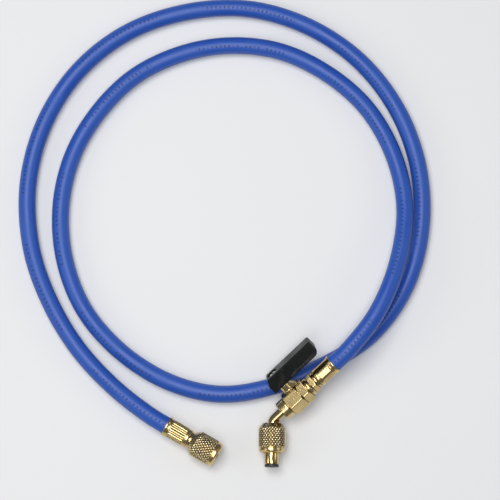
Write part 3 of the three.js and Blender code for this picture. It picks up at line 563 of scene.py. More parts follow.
def ridged(angle, along, radius):
    """Narrow grooves between the ridges of the straight end's crimp."""
    if radius < FERRULE_DIAMETER / 2 - CRIMP_SKIN:
        return radius
    groove = abs(cos(angle * CRIMP_RIDGES / 2)) ** 4
    waist = 0.5 + 0.5 * cos(angle * CRIMP_FLATS)
    return radius - between(along, *STRAIGHT_CRIMP, 0.8) * (WAIST_DEPTH * waist + RIDGE_DEPTH * groove)


def flattened(angle, along, radius):
    """Eight flats, each with a shallow pad pressed into its middle."""
    if radius < FERRULE_DIAMETER / 2 - CRIMP_SKIN:
        return radius
    step = 2 * pi / CRIMP_FLATS
    off = (angle - CRIMP_CLOCK + step / 2) % step - step / 2
    flat = (FERRULE_DIAMETER / 2 - CRIMP_PRESS) / cos(off)
    across = between(off, -step * 0.3, step * 0.3, step * 0.06)
    pad = PAD_DEPTH * across * between(along, *PAD, 0.7)
    return radius + (min(flat, radius) - pad - radius) * between(along, *VALVE_CRIMP, 0.9)


straight_sleeve = ferrule_outline(STRAIGHT_FERRULE_END, STRAIGHT_CRIMP)
straight_ferrule = turned("straight_ferrule_sleeve", straight_sleeve, STRAIGHT, 288, ridged)
surfaced(straight_ferrule, crimped_brass)
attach(straight_ferrule, "base")
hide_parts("straight_ferrule")
valve_sleeve = ferrule_outline(VALVE_FERRULE_END, VALVE_CRIMP)
valve_ferrule = turned("valve_ferrule_sleeve", valve_sleeve, VALVE, 240, flattened)
surfaced(valve_ferrule, crimped_brass)
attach(valve_ferrule, "base")
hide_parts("valve_ferrule")

# The straight stem is turned from one brass bar: barbs inside the hose, a collar against the
# ferrule, and the nipple that the nut turns on, with a counterbore for its gasket.
BARB_DIAMETER = 5
BARB_PITCH = 3.4
BARB_TIP = 0.6
BARB_STEP = 0.3
BARB_SLOPE = 0.25
BARBS_SHORT_OF_END = 1.5
FLOW_BORE = 2.6
NECK_DIAMETER = 6.4
COLLAR_DIAMETER = 10.6
COLLAR_WIDTH = 1.6
COLLAR_GAP = 0.3
NIPPLE_DIAMETER = 9.3
NIPPLE_LENGTH = 8.6
GASKET_POCKET = 3.7
GASKET_POCKET_DEPTH = 1.6
DISC_POCKET = 2.4
DISC_POCKET_DEPTH = 2.8
STRAIGHT_SHOULDER = 21.0


def barbs(ferrule_end):
    """The barbed shank from its tip to the ferrule's end wall."""
    root, barb = ferrule_end - BARBS_SHORT_OF_END, BARB_DIAMETER / 2
    shank = [(BARB_TIP, FLOW_BORE / 2, 0.1), (BARB_TIP, barb - BARB_STEP, 0.2)]
    at = BARB_TIP + BARB_PITCH
    while at < root - 2:
        shank += [(at, barb, 0.05), (at + BARB_SLOPE, barb - BARB_STEP, 0.05)]
        at += BARB_PITCH
    return shank + [(root, barb, 0), (root + 0.15, NECK_DIAMETER / 2, 0)]


def seat_end(shoulder):
    """The nipple's outline from its shoulder round to its bore."""
    end, outer = shoulder + NIPPLE_LENGTH, NIPPLE_DIAMETER / 2
    seat, floor = end - GASKET_POCKET_DEPTH, end - DISC_POCKET_DEPTH
    return [
        (shoulder, outer, 0.5), (end, outer, 0.35), (end, GASKET_POCKET, 0.1),
        (seat, GASKET_POCKET, 0.05), (seat, DISC_POCKET, 0.05),
        (floor, DISC_POCKET, 0.05), (floor, FLOW_BORE / 2, 0.05),
    ]


turned_brass = brass(
    "turned brass", dull=0.3, recesses=0.6, wear=0.4, marks=0.5, shine=(0.14, 0.36), pitch=0.00022)
neck, collar = NECK_DIAMETER / 2, COLLAR_DIAMETER / 2
collar_from = STRAIGHT_FERRULE_END + COLLAR_GAP
collar_to = collar_from + COLLAR_WIDTH
stem_outline = barbs(STRAIGHT_FERRULE_END) + [
    (collar_from, neck, 0.05), (collar_from, collar, 0.35),
    (collar_to, collar, 0.35), (collar_to, neck, 0.1), (STRAIGHT_SHOULDER, neck, 0.1),
] + seat_end(STRAIGHT_SHOULDER)
straight_stem = surfaced(turned("straight_stem_turning", eased(stem_outline), STRAIGHT, 72), turned_brass)
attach(straight_stem, "base")
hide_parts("straight_stem")

# The two flare nuts are turned from brass bar with a diamond knurl rolled on, a rounded rear, a
# plain rim in front and a 7/16-20 thread inside. Each turns freely on its nipple's neck.
NUT_DIAMETER = 17.2
NUT_LENGTH = 18.6
NUT_REAR_DIAMETER = 12.4
NUT_REAR_ROUND = 4.6
NUT_ROUND_STEPS = 14
NUT_REAR_WALL = 3
NUT_NECK_HOLE = 7.4
NUT_RIM_DIAMETER = 16.4
NUT_RIM_WIDTH = 3.4
NUT_RIM_STEP = 0.25
NUT_RIM_CHAMFER = 1
NUT_SOCKET_DIAMETER = 9.9
KNURL_TEETH = 26
KNURL_HALF_HEIGHT = 1.35
KNURL_DEPTH = 0.55
KNURL_STEPS = 5
KNURL_VALLEY = 0.66
RELIEF_ON_TOP = 0.95
RELIEF_RANGE = 0.85
# Dark brown for the knurl's valleys: dirt, and painted shade.
KNURL_DIRT_AND_SHADE = (0.080, 0.046, 0.015, 1)
THREAD_PITCH = 1.27
THREAD_DEPTH = 0.6
THREAD_ROW = 0.212
THREAD_LEAD_IN = 0.9
THREAD_FROM_FACE = 1.1
NUT_RIM_FROM = NUT_LENGTH - NUT_RIM_WIDTH


def knurl(angle, along):
    """How far the knurling wheel has pressed in at a place: none on a diamond's top, most in a valley."""
    around, ahead = angle * KNURL_TEETH / pi, along / KNURL_HALF_HEIGHT
    slopes = [abs((around + sign * ahead) % 2 - 1) for sign in (1, -1)]
    return 1 - min(min(slopes) / KNURL_VALLEY, 1)


def nut_surface(angle, along, radius):
    """The knurl outside and the thread inside, both running out at their ends."""
    if radius > NUT_REAR_DIAMETER / 2 - 0.3 and along < NUT_RIM_FROM:
        pressed = NUT_DIAMETER / 2 - KNURL_DEPTH * knurl(angle, along)
        return min(radius, pressed)
    if abs(radius - NUT_SOCKET_DIAMETER / 2) < 0.01:
        turn = (along / THREAD_PITCH + angle / (2 * pi)) % 1
        fade = between(along, NUT_REAR_WALL + 0.8, NUT_LENGTH, 0.6)
        return radius + THREAD_DEPTH * fade * (1 - abs(2 * turn - 1))
    return radius


def nut_outline():
    """The nut's section from its neck hole round the outside and back along the thread."""
    outer, rear, rim = NUT_DIAMETER / 2, NUT_REAR_DIAMETER / 2, NUT_RIM_DIAMETER / 2
    socket = NUT_SOCKET_DIAMETER / 2
    points = [(0.15, NUT_NECK_HOLE / 2), (0, NUT_NECK_HOLE / 2 + 0.15), (0, rear - 0.3)]
    for i in range(NUT_ROUND_STEPS + 1):
        share = i / NUT_ROUND_STEPS
        points.append((NUT_REAR_ROUND * share, rear + (outer - rear) * sin(pi / 2 * share)))
    row = KNURL_HALF_HEIGHT / KNURL_STEPS
    first, last = ceil(NUT_REAR_ROUND / row), int((NUT_RIM_FROM - 0.3) / row)
    points += [(row * i, outer) for i in range(first + 1, last + 1)]
    points += eased([
        (NUT_RIM_FROM - 0.05, outer - NUT_RIM_STEP, 0), (NUT_RIM_FROM + 0.1, rim - NUT_RIM_STEP, 0.05),
        (NUT_RIM_FROM + 0.6, rim - NUT_RIM_STEP, 0.1), (NUT_RIM_FROM + 0.8, rim, 0.1),
        (NUT_LENGTH - NUT_RIM_CHAMFER, rim, 0.2), (NUT_LENGTH, rim - NUT_RIM_CHAMFER, 0.2),
        (NUT_LENGTH, socket + THREAD_LEAD_IN, 0.15), (NUT_LENGTH - THREAD_LEAD_IN, socket + 0.02, 0),
    ])
    thread_from = NUT_LENGTH - THREAD_FROM_FACE
    turns = int((thread_from - NUT_REAR_WALL) / THREAD_ROW)
    points += [(thread_from - THREAD_ROW * i, socket) for i in range(turns)]
    return points + [(NUT_REAR_WALL, socket), (NUT_REAR_WALL, NUT_NECK_HOLE / 2)]


def flare_nut(name, place):
    """A whole nut; the knurl's valleys are painted dark, partly as dirt and partly as painted shade, and
    its diamonds are rubbed bright.
    """
    sides = 2 * KNURL_TEETH * KNURL_STEPS
    nut = surfaced(turned(name, nut_outline(), place, sides, nut_surface), knurled_brass, crease=50)
    # The knurl's relief follows its pattern, so its valleys take the dark colour as painted shade as well
    # as dirt.
    inward = place.inverted()
    relief = nut.data.attributes["relief"].data
    for point, value in zip(nut.data.vertices, relief):
        x, y, along = inward @ point.co
        if sqrt(x * x + y * y) > NUT_REAR_DIAMETER / 2 and 0 < along < NUT_RIM_FROM:
            value.value = RELIEF_ON_TOP - RELIEF_RANGE * knurl(atan2(y, x), along)
    return nut


# The knurl's dark colour paints shade into its valleys as well as dirt.
knurled_brass = brass(
    "knurled brass", dull=0.15, recesses=1.0, wear=1.0, marks=0.1, shine=(0.2, 0.45), darkened=KNURL_DIRT_AND_SHADE)
STRAIGHT_NUT_AT = 17.7
straight_nut = flare_nut("straight_flare_nut", STRAIGHT @ Matrix.Translation((0, 0, STRAIGHT_NUT_AT)))
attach(straight_nut, "straight_nut")
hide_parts("straight_nut")

# The outlet leaves the valve through a brass tube bent by 48 degrees, and ends in the same nipple.
# The tube is pressed into the valve body's collar; its nut is slid back against the bend.
ELBOW_ANGLE = radians(48)
ELBOW_CLOCK = radians(123.4)
ELBOW_RADIUS = 6
ELBOW_AT = 52.6
ELBOW_FROM = 39.9
ELBOW_BORE = 3.2
ELBOW_STEPS = 12
OUTLET_NUT_AT = 1.6
OUTLET_SHOULDER = 18.7
hinge = Vector((sin(ELBOW_CLOCK), -cos(ELBOW_CLOCK), 0))
IN_VALVE = Matrix.Translation((0, 0, ELBOW_AT)) @ Matrix.Rotation(ELBOW_ANGLE, 4, hinge)
OUTLET = VALVE @ IN_VALVE


def elbow_rings(sides=64):
    """The tube's skin: out along the bend to the nipple, round its end and back through the bore."""
    cut = ELBOW_RADIUS * tan(ELBOW_ANGLE / 2)
    corner = Vector((0, 0, ELBOW_AT))
    start, end = corner - Vector((0, 0, cut)), IN_VALVE @ Vector((0, 0, cut))
    bend = []
    for i in range(ELBOW_STEPS + 1):
        t = i / ELBOW_STEPS
        spot = start * (1 - t) ** 2 + corner * 2 * t * (1 - t) + end * t ** 2
        way = ((corner - start) * (1 - t) + (end - corner) * t).normalized()
        bend.append((spot, way))
    valve_way = Vector((0, 0, 1))
    outlet_way = IN_VALVE.to_3x3() @ valve_way
    neck, bore = NECK_DIAMETER / 2, ELBOW_BORE / 2
    nose = [(6, neck), (10, neck), (14, neck)]
    nose += eased([(OUTLET_SHOULDER, neck, 0.1)] + seat_end(OUTLET_SHOULDER))
    nose += [(20, FLOW_BORE / 2), (10, FLOW_BORE / 2)]
    line = [(Vector((0, 0, at)), valve_way, neck) for at in (ELBOW_FROM, 42, 44, 46, 48)]
    line += [(spot, way, neck) for spot, way in bend]
    line += [(IN_VALVE @ Vector((0, 0, at)), outlet_way, radius) for at, radius in nose]
    line += [(spot, way, bore) for spot, way in bend[::-1]]
    line += [(Vector((0, 0, at)), valve_way, bore) for at in (44, ELBOW_FROM)]
    rings, along, travelled = [], [], 0
    for j, (spot, way, radius) in enumerate(line):
        flat = hinge.cross(way)
        if j:
            travelled += ((spot - line[j - 1][0]).length + abs(radius - line[j - 1][2])) * MM
        ring = []
        for i in range(sides):
            angle = 2 * pi * i / sides
            ring.append(VALVE @ (spot + (hinge * cos(angle) + flat * sin(angle)) * radius))
        rings.append(ring)
        along.append(travelled)
    return rings, along


drawn_brass = brass(
    "drawn brass", dull=0.22, recesses=0.6, wear=0.3, marks=0.12, shine=(0.12, 0.3), pitch=0.0006)
elbow = surfaced(loft("elbow_tube", *elbow_rings()), drawn_brass)
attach(elbow, "base")
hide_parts("elbow_nipple")
valve_nut = flare_nut("valve_flare_nut", OUTLET @ Matrix.Translation((0, 0, OUTLET_NUT_AT)))
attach(valve_nut, "valve_nut")
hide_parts("valve_nut")

# Each nipple has a black rubber gasket pressed into its end, and the valve's also holds a small
# nickelled disc with a pin that opens a service port.
GASKET_DIAMETER = 9.1
GASKET_THICKNESS = 1.9
GASKET_SPIGOT = 6.8
GASKET_SPIGOT_LENGTH = 1.3
GASKET_HOLE = 3.4
DISC_DIAMETER = 4.2
DISC_THICKNESS = 0.9
PIN_DIAMETER = 1.5
PIN_BELOW_FACE = 0.3
DISC_HOLES = 3
DISC_HOLE_RADIUS = 0.45
DISC_HOLES_AT = 1.425
NICKEL = (0.62, 0.61, 0.59, 1)
NICKEL_DULL = (0.42, 0.41, 0.39, 1)
GASKET_BLACK = (0.008, 0.008, 0.009, 1)
GASKET_BLOOM = (0.030, 0.030, 0.032, 1)


def gasket_rubber():
    """Black moulded rubber, slightly greasy, with a grey bloom."""
    material, tree, shader = finish("gasket rubber", Roughness=0.5)
    skin = use(tree, GRAIN, Grain_Size=0.00025, Scuffs=0.4)
    handled = use(tree, PATCHES, Size=0.004, Contrast=1.0)
    colour = mixed(tree, handled["Mask"], GASKET_BLACK, GASKET_BLOOM)
    coated(tree, shader, colour, ramped(tree, handled["Fine"], 0.3, 0.7, 0.32, 0.55), skin["Height"])
    return material


hole, spigot, brim = GASKET_HOLE / 2, GASKET_SPIGOT / 2, GASKET_DIAMETER / 2
gasket_outline = eased([
    (-GASKET_SPIGOT_LENGTH, hole, 0.1), (-GASKET_SPIGOT_LENGTH, spigot, 0.2), (0.3, spigot, 0.05),
    (0.3, brim, 0.2), (GASKET_THICKNESS, brim, 0.45), (GASKET_THICKNESS, hole, 0.3),
])
black_rubber = gasket_rubber()
for name, node, place, at in (
    ("straight_gasket_ring", "straight_gasket", STRAIGHT, STRAIGHT_SHOULDER + NIPPLE_LENGTH),
    ("valve_gasket_ring", "valve_gasket", OUTLET, OUTLET_SHOULDER + NIPPLE_LENGTH),
):
    ring = surfaced(turned(name, gasket_outline, place @ Matrix.Translation((0, 0, at)), 64), black_rubber)
    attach(ring, "base")
    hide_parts(node)


def mottled(name, first, second, shine, size, contrast=1.0, **constants):
    """A plain finish that varies softly between two colours and between two roughnesses."""
    material, tree, shader = finish(name, **constants)
    handled = use(tree, PATCHES, Size=size, Contrast=contrast)
    colour = mixed(tree, handled["Mask"], first, second)
    coated(tree, shader, colour, ramped(tree, handled["Fine"], 0.3, 0.7, *shine))
    return material


def carve(piece, tool, operation="DIFFERENCE"):
    """Cuts a piece with a tool, or joins the tool to it, and puts the tool away."""
    modifier = piece.modifiers.new("carve", "BOOLEAN")
    modifier.operation = operation
    modifier.solver = "EXACT"
    modifier.object = tool
    settled(piece)
    bpy.data.objects.remove(tool)
    return piece


def closed(piece):
    """A lofted piece made ready to cut: its seams joined and its faces turned out."""
    body = bmesh.new()
    body.from_mesh(piece.data)
    bmesh.ops.remove_doubles(body, verts=body.verts, dist=0.000001)
    bmesh.ops.dissolve_degenerate(body, edges=body.edges, dist=0.0000005)
    bmesh.ops.recalc_face_normals(body, faces=body.faces)
    body.to_mesh(piece.data)
    body.free()
    return piece


def spun(name, outline, place, sides=48):
    """A solid turning whose outline starts and ends on the axis."""
    return closed(turned(name, outline, place, sides))


def rod(name, start, end, radius, place, sides=48):
    """A plain round rod, to cut a hole with."""
    return spun(name, [(start, 0), (start, radius), (end, radius), (end, 0)], place, sides)


bright_nickel = mottled("nickel", NICKEL, NICKEL_DULL, (0.16, 0.34), 0.003, Metallic=1.0, Roughness=0.22)
disc_place = OUTLET @ Matrix.Translation((0, 0, OUTLET_SHOULDER + NIPPLE_LENGTH - GASKET_POCKET_DEPTH))
pin_tip = GASKET_SPIGOT_LENGTH + GASKET_THICKNESS - PIN_BELOW_FACE
disc, pin = DISC_DIAMETER / 2, PIN_DIAMETER / 2
depressor = spun("depressor_pin", eased([
    (-DISC_THICKNESS, 0, 0), (-DISC_THICKNESS, disc, 0.15), (0, disc, 0.15),
    (0, pin, 0.2), (pin_tip, pin, 0.5), (pin_tip, 0, 0)]), disc_place)
for i in range(DISC_HOLES):
    turn = 2 * pi * i / DISC_HOLES
    hole_at = Matrix.Translation((DISC_HOLES_AT * cos(turn), DISC_HOLES_AT * sin(turn), 0))
    carve(depressor, rod("hole", -2, 1, DISC_HOLE_RADIUS, disc_place @ hole_at, 16))
surfaced(depressor, bright_nickel)
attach(depressor, "base")
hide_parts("depressor")

# The hose tail is turned from hexagon bar: barbs in the hose, a round collar against the ferrule and
# a small hexagon, with a threaded spigot that screws into the valve's end cap.
TAIL_COLLAR_DIAMETER = 11.4
TAIL_COLLAR_FROM = 13.2
TAIL_COLLAR_TO = 14.7
TAIL_GROOVE_AT = 14.9
TAIL_GROOVE_DEPTH = 0.9
TAIL_HEX_ACROSS_FLATS = 11.4
TAIL_HEX_FROM = 15.1
TAIL_HEX_TO = 18.3
TAIL_THREAD_DIAMETER = 8
TAIL_THREAD_LENGTH = 5
FACING = 0.15
HEX_CORNER_EASE = 0.985
milled_brass = brass(
    "milled brass", dull=0.25, recesses=0.6, wear=0.7, marks=0.2, shine=(0.18, 0.36), pitch=0.0004)


def hexagonal(across_flats, start, end):
    """Reshapes a turning so that between two places its outside is hexagon bar with eased corners."""
    def reach(angle, along, radius):
        if not start - 0.001 <= along <= end + 0.001 or radius < across_flats / 2 - 2 * FACING:
            return radius
        off = (angle - pi / 2 + pi / 6) % (pi / 3) - pi / 6
        corner = across_flats / 2 / cos(pi / 6)
        return min(radius, across_flats / 2 / cos(off), corner * HEX_CORNER_EASE)
    return reach


def faced(across_flats, start, end, steps=8):
    """The hexagon's envelope: its corners turned off at both ends, with rows enough for a clean arc."""
    low, high = across_flats / 2 - FACING, across_flats / 2 / cos(pi / 6)
    run = (high - low) / 2
    rising = [(start + run * i / steps, low + (high - low) * i / steps, 0) for i in range(steps + 1)]
    middle = [(start + run + (end - start - 2 * run) * i / 6, high, 0) for i in range(1, 6)]
    return rising + middle + [(start + end - at, radius, 0) for at, radius, _ in rising[::-1]]


tail_collar = TAIL_COLLAR_DIAMETER / 2
tail_thread = TAIL_THREAD_DIAMETER / 2
tail_end = TAIL_HEX_TO + TAIL_THREAD_LENGTH
tail_groove = tail_collar - TAIL_GROOVE_DEPTH
tail_hex = TAIL_HEX_ACROSS_FLATS, TAIL_HEX_FROM, TAIL_HEX_TO
tail_outline = barbs(VALVE_FERRULE_END) + [
    (TAIL_COLLAR_FROM, NECK_DIAMETER / 2, 0), (TAIL_COLLAR_FROM, tail_collar, 0.5),
    (TAIL_COLLAR_TO, tail_collar, 0.5), (TAIL_GROOVE_AT, tail_groove, 0.1), (TAIL_HEX_FROM, tail_groove, 0),
] + faced(*tail_hex) + [
    (TAIL_HEX_TO, tail_thread, 0), (tail_end, tail_thread, 0.4), (tail_end, FLOW_BORE / 2, 0.1),
]
hose_tail = turned("hose_tail_turning", eased(tail_outline), VALVE, 120, hexagonal(*tail_hex))
surfaced(hose_tail, milled_brass, crease=24, flat_faced=True)
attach(hose_tail, "base")
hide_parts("hose_tail")

# The end cap closes the valve body: a turned neck towards the hose, a short hexagon, and a spigot
# that screws into the body and holds the rear seat against the ball.
VALVE_ACROSS_FLATS = 14.8
CAP_NECK_DIAMETER = 12.6
CAP_FROM = 18.6
CAP_HEX_FROM = 21.5
CAP_TO = 26.7
CAP_SPIGOT_DIAMETER = 11.2
CAP_SPIGOT_LENGTH = 1.1
THREAD_CLEARANCE = 0.3
STEM_AT = 30.7
CAVITY_DIAMETER = 8.8
CAVITY_HALF = 5.2
CAVITY_BORE = 5
cap_neck = CAP_NECK_DIAMETER / 2
cap_thread = tail_thread + THREAD_CLEARANCE
cap_spigot, cap_end = CAP_SPIGOT_DIAMETER / 2, CAP_TO + CAP_SPIGOT_LENGTH
cavity, bore = CAVITY_DIAMETER / 2, CAVITY_BORE / 2
seat_at, thread_end = STEM_AT - CAVITY_HALF, tail_end + THREAD_CLEARANCE
cap_hex = VALVE_ACROSS_FLATS, CAP_HEX_FROM, CAP_TO
cap_outline = [
    (CAP_FROM, cap_thread, 0.1), (CAP_FROM, cap_neck - 0.9, 0.3), (CAP_FROM + 0.9, cap_neck, 0.5),
    (CAP_HEX_FROM - 0.7, cap_neck, 0.1), (CAP_HEX_FROM - 0.35, cap_neck - 0.3, 0.1),
    (CAP_HEX_FROM, cap_neck - 0.3, 0),
] + faced(*cap_hex) + [
    (CAP_TO, cap_spigot, 0), (cap_end, cap_spigot, 0.2), (cap_end, cavity, 0.1), (seat_at, cavity, 0),
    (seat_at, bore, 0), (thread_end, bore, 0), (thread_end, cap_thread, 0),
]
end_cap = turned("end_cap_turning", eased(cap_outline), VALVE, 144, hexagonal(*cap_hex))
surfaced(end_cap, milled_brass, crease=24, flat_faced=True)
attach(end_cap, "base")
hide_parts("valve_end_cap")

# The valve body is brass hexagon bar: a round outlet collar with fine turned rings, a stem boss
# with a stepped foot and a web on the hose side, a cavity for the ball and a socket for the tube.
BODY_FROM = 27.0
BODY_HEX_TO = 37.6
BODY_TO = 43.6
OUTLET_COLLAR_DIAMETER = 13.1
TURNED_RINGS = 5
TURNED_RINGS_AT = 2.5
TURNED_RING_PITCH = 0.55
TURNED_RING_WIDTH = 0.28
TURNED_RING_DEPTH = 0.13
BOSS_DIAMETER = 7
BOSS_HEIGHT = 12.9
BOSS_FOOT = 6.4
BOSS_FOOT_HEIGHT = 2.1
BOSS_FOOT_STEP = 0.25
BOSS_TAPER = 0.1
STEM_HOLE = 4.6
WEB_REACH = 7.2
WEB_WIDTH = 5
WEB_LOW = 7.7
TUBE_SOCKET = 7.1
TUBE_SOCKET_DEPTH = 4
collar = OUTLET_COLLAR_DIAMETER / 2
collar_rows = [
    (BODY_HEX_TO, collar - 0.5, 0), (BODY_HEX_TO + 0.3, collar - 0.5, 0.1),
    (BODY_HEX_TO + 0.8, collar, 0.2),
]
for i in range(TURNED_RINGS):
    groove = BODY_HEX_TO + TURNED_RINGS_AT + TURNED_RING_PITCH * i
    collar_rows += [
        (groove, collar, 0), (groove + TURNED_RING_WIDTH / 2, collar - TURNED_RING_DEPTH, 0.03),
        (groove + TURNED_RING_WIDTH, collar, 0),
    ]
socket, socket_end = TUBE_SOCKET / 2, BODY_TO - TUBE_SOCKET_DEPTH
seat_at, spigot_end = STEM_AT + CAVITY_HALF, BODY_FROM + CAP_SPIGOT_LENGTH
body_mouth = cap_spigot + THREAD_CLEARANCE
body_hex = VALVE_ACROSS_FLATS, BODY_FROM, BODY_HEX_TO
body_outline = [(BODY_FROM, body_mouth, 0)] + faced(*body_hex) + collar_rows + [
    (BODY_TO, collar, 0.6), (BODY_TO, socket, 0.15), (socket_end, socket, 0), (socket_end, bore, 0),
    (seat_at, bore, 0), (seat_at, cavity, 0), (spigot_end, cavity, 0), (spigot_end, body_mouth, 0),
]
valve_body = closed(turned("valve_body_forging", eased(body_outline), VALVE, 144, hexagonal(*body_hex)))
UPRIGHT = VALVE @ Matrix.Translation((0, 0, STEM_AT)) @ Matrix.Rotation(-pi / 2, 4, "X")


def slab(name, outline, low, high, place, ease=0):
    """A plate with a drawn outline in X and Y, between two heights in Z, its edges eased."""
    body = bmesh.new()
    face = body.faces.new([body.verts.new((x, y, low)) for x, y in outline])
    grown = bmesh.ops.extrude_face_region(body, geom=[face])
    raised = [item for item in grown["geom"] if isinstance(item, bmesh.types.BMVert)]
    bmesh.ops.translate(body, verts=raised, vec=(0, 0, high - low))
    bmesh.ops.recalc_face_normals(body, faces=body.faces)
    if ease:
        bmesh.ops.bevel(
            body, geom=body.edges[:], offset=ease, segments=3, profile=0.5, affect="EDGES",
            clamp_overlap=True)
    mesh = bpy.data.meshes.new(name)
    body.to_mesh(mesh)
    body.free()
    mesh.transform(place)
    mesh.uv_layers.new(name="lay")
    return linked(name, mesh)


def oblong(left, right, low, high):
    """A rectangle's corners."""
    return [(left, low), (right, low), (right, high), (left, high)]


boss_radius = BOSS_DIAMETER / 2
foot, tip = boss_radius + BOSS_FOOT_STEP, boss_radius - BOSS_TAPER
foot_top = BOSS_FOOT + BOSS_FOOT_HEIGHT
boss = spun("boss", eased([
    (BOSS_FOOT, 0, 0), (BOSS_FOOT, foot, 0), (foot_top, foot, 0.25), (foot_top + 0.3, boss_radius, 0.1),
    (BOSS_HEIGHT - 1.2, tip, 0), (BOSS_HEIGHT, tip, 0.4), (BOSS_HEIGHT, 0, 0)]), UPRIGHT)
web_top = BOSS_HEIGHT - 0.5
web_outline = [
    (0, WEB_LOW), (WEB_REACH, WEB_LOW), (WEB_REACH - 0.3, WEB_LOW + 0.7),
    (boss_radius - 0.4, web_top), (0, web_top),
]
SIDEWAYS = VALVE @ Matrix.Translation((0, 0, STEM_AT)) @ Matrix.Rotation(pi / 2, 4, "Y")
web = slab("web", web_outline, -WEB_WIDTH / 2, WEB_WIDTH / 2, SIDEWAYS, ease=0.3)
carve(boss, web, "UNION")
carve(valve_body, boss, "UNION")
carve(valve_body, rod("drill", 2, 15, STEM_HOLE / 2, UPRIGHT))
surfaced(valve_body, milled_brass, crease=24, flat_faced=True)
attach(valve_body, "base")
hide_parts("valve_body")

# The lever is one black nylon moulding: it sits on the stem's flats, and its arm lies back along the
# hose. Its sides have a sunk panel with a ribbed strip along the lower edge.
LEVER_REACH = 31.5
LEVER_HEEL = 6.9
LEVER_WIDTH = 10.5
LEVER_BOTTOM = 13.3
LEVER_TOP = 23.4
LEVER_HEEL_SLOPE = 4.4
LEVER_TOE_CHAMFER = 2.5
STEM_TOP = 19.4
SCREW_WEB = 1.1
SCREW_RECESS = 7.2
SCREW_HOLE = 2.4
KEY_LENGTH = 3.8
KEY_WIDTH = 4.6
KEY_CLEARANCE = 0.3
PANEL_DEPTH = 0.35
PANEL_FROM = 5.2
PANEL_LOW = 2.6
PANEL_TOP_MARGIN = 1.3
PANEL_TOE_MARGIN = 1.4
PANEL_CHAMFER = 1
STRIP = (8.3, 28)
STRIP_RISE = (0.6, 2.2)
STRIP_DEPTH = 0.12
RIB_FROM = 8.7
RIB_COUNT = 15
RIB_MARGIN = 0.1
RIB_PITCH = 1.3
RIB_GAP = 0.6
NYLON = (0.0045, 0.0048, 0.0045, 1)
NYLON_WORN = (0.085, 0.086, 0.084, 1)
HALF_WIDTH = LEVER_WIDTH / 2


def nylon():
    """Black moulded nylon: a fine matt texture, greyer on rubbed edges and along scuffs."""
    material, tree, shader = finish("black nylon", Roughness=0.4, Specular_IOR_Level=0.25)
    skin = use(tree, GRAIN, Grain_Size=0.00035, Scuffs=0.7)
    handled = use(tree, PATCHES, Size=0.012, Contrast=1.0)
    relief = add(tree, "ShaderNodeAttribute", attribute_name="relief").outputs["Fac"]
    edge_wear, scuffing, dust = 0.8, 0.35, 0.02
    rubbed = times(tree, ramped(tree, relief, 0.6, 1.0), ramped(tree, handled["Fine"], 0.35, 0.6))
    scuffed = times(tree, skin["Scuff Mask"], scuffing)
    worn = reckon(tree, "ADD", times(tree, rubbed, edge_wear), scuffed)
    worn = reckon(tree, "ADD", worn, times(tree, handled["Mask"], dust), clamp=True)
    roughness = ramped(tree, handled["Mask"], 0, 1, 0.34, 0.48)
    coated(tree, shader, mixed(tree, worn, NYLON, NYLON_WORN), roughness, skin["Height"], 0.35, 0.00008)
    return material


profile = eased([
    (-LEVER_HEEL, LEVER_BOTTOM, 0.8), (-LEVER_HEEL, LEVER_TOP - LEVER_HEEL_SLOPE, 1.2),
    (-LEVER_HEEL + LEVER_HEEL_SLOPE / 2, LEVER_TOP, 1.2), (LEVER_REACH, LEVER_TOP, 1.0),
    (LEVER_REACH, LEVER_BOTTOM + LEVER_TOE_CHAMFER, 1.4),
    (LEVER_REACH - LEVER_TOE_CHAMFER, LEVER_BOTTOM, 1.4),
], 5)
lever = slab("lever_moulding", profile, -HALF_WIDTH, HALF_WIDTH, SIDEWAYS, ease=0.55)
panel_low, panel_high = LEVER_BOTTOM + PANEL_LOW, LEVER_TOP - PANEL_TOP_MARGIN
panel_toe = LEVER_REACH - PANEL_TOE_MARGIN
panel = eased([
    (PANEL_FROM, panel_low, 0.8), (PANEL_FROM, panel_high, 0.8), (panel_toe, panel_high, 0.8),
    (panel_toe, panel_low + PANEL_CHAMFER, 0.8), (panel_toe - PANEL_CHAMFER, panel_low, 0.8),
], 5)
strip_from, strip_to = (LEVER_BOTTOM + rise for rise in STRIP_RISE)
for side in (-1, 1):
    low, high = sorted((side * (HALF_WIDTH - PANEL_DEPTH), side * (HALF_WIDTH + 1)))
    strip_floor = sorted((side * (HALF_WIDTH - STRIP_DEPTH), side * (HALF_WIDTH + 1)))
    carve(lever, slab("panel", panel, low, high, SIDEWAYS))
    carve(lever, slab("strip", oblong(*STRIP, strip_from, strip_to), *strip_floor, SIDEWAYS))
    for i in range(RIB_COUNT):
        at = RIB_FROM + RIB_PITCH * i
        notch = oblong(at, at + RIB_GAP, strip_from + RIB_MARGIN, strip_to - RIB_MARGIN)
        carve(lever, slab("notch", notch, low, high, SIDEWAYS))
key_top = STEM_TOP + KEY_CLEARANCE
recess_floor = key_top + SCREW_WEB
carve(lever, rod("recess", recess_floor, LEVER_TOP + 1, SCREW_RECESS / 2, UPRIGHT, 64))
carve(lever, rod("screw_hole", STEM_TOP - 1, recess_floor + 1, SCREW_HOLE / 2, UPRIGHT, 24))
key_corners = oblong(-KEY_LENGTH / 2, KEY_LENGTH / 2, -KEY_WIDTH / 2, KEY_WIDTH / 2)
key = eased([(x, y, 0.3) for x, y in key_corners], 5)
quarter = Matrix.Rotation(pi / 2, 4, "Z")
carve(lever, slab("key", key, LEVER_BOTTOM - 1, key_top, UPRIGHT @ quarter))
surfaced(lever, nylon(), crease=26, flat_faced=True)
inward = SIDEWAYS.inverted()
for point, value in zip(lever.data.vertices, lever.data.attributes["relief"].data):
    _, height, across = inward @ point.co
    if abs(abs(across) - HALF_WIDTH + STRIP_DEPTH) < 0.02 and height < strip_to + 0.01:
        value.value = 1
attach(lever, "lever")
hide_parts("lever")

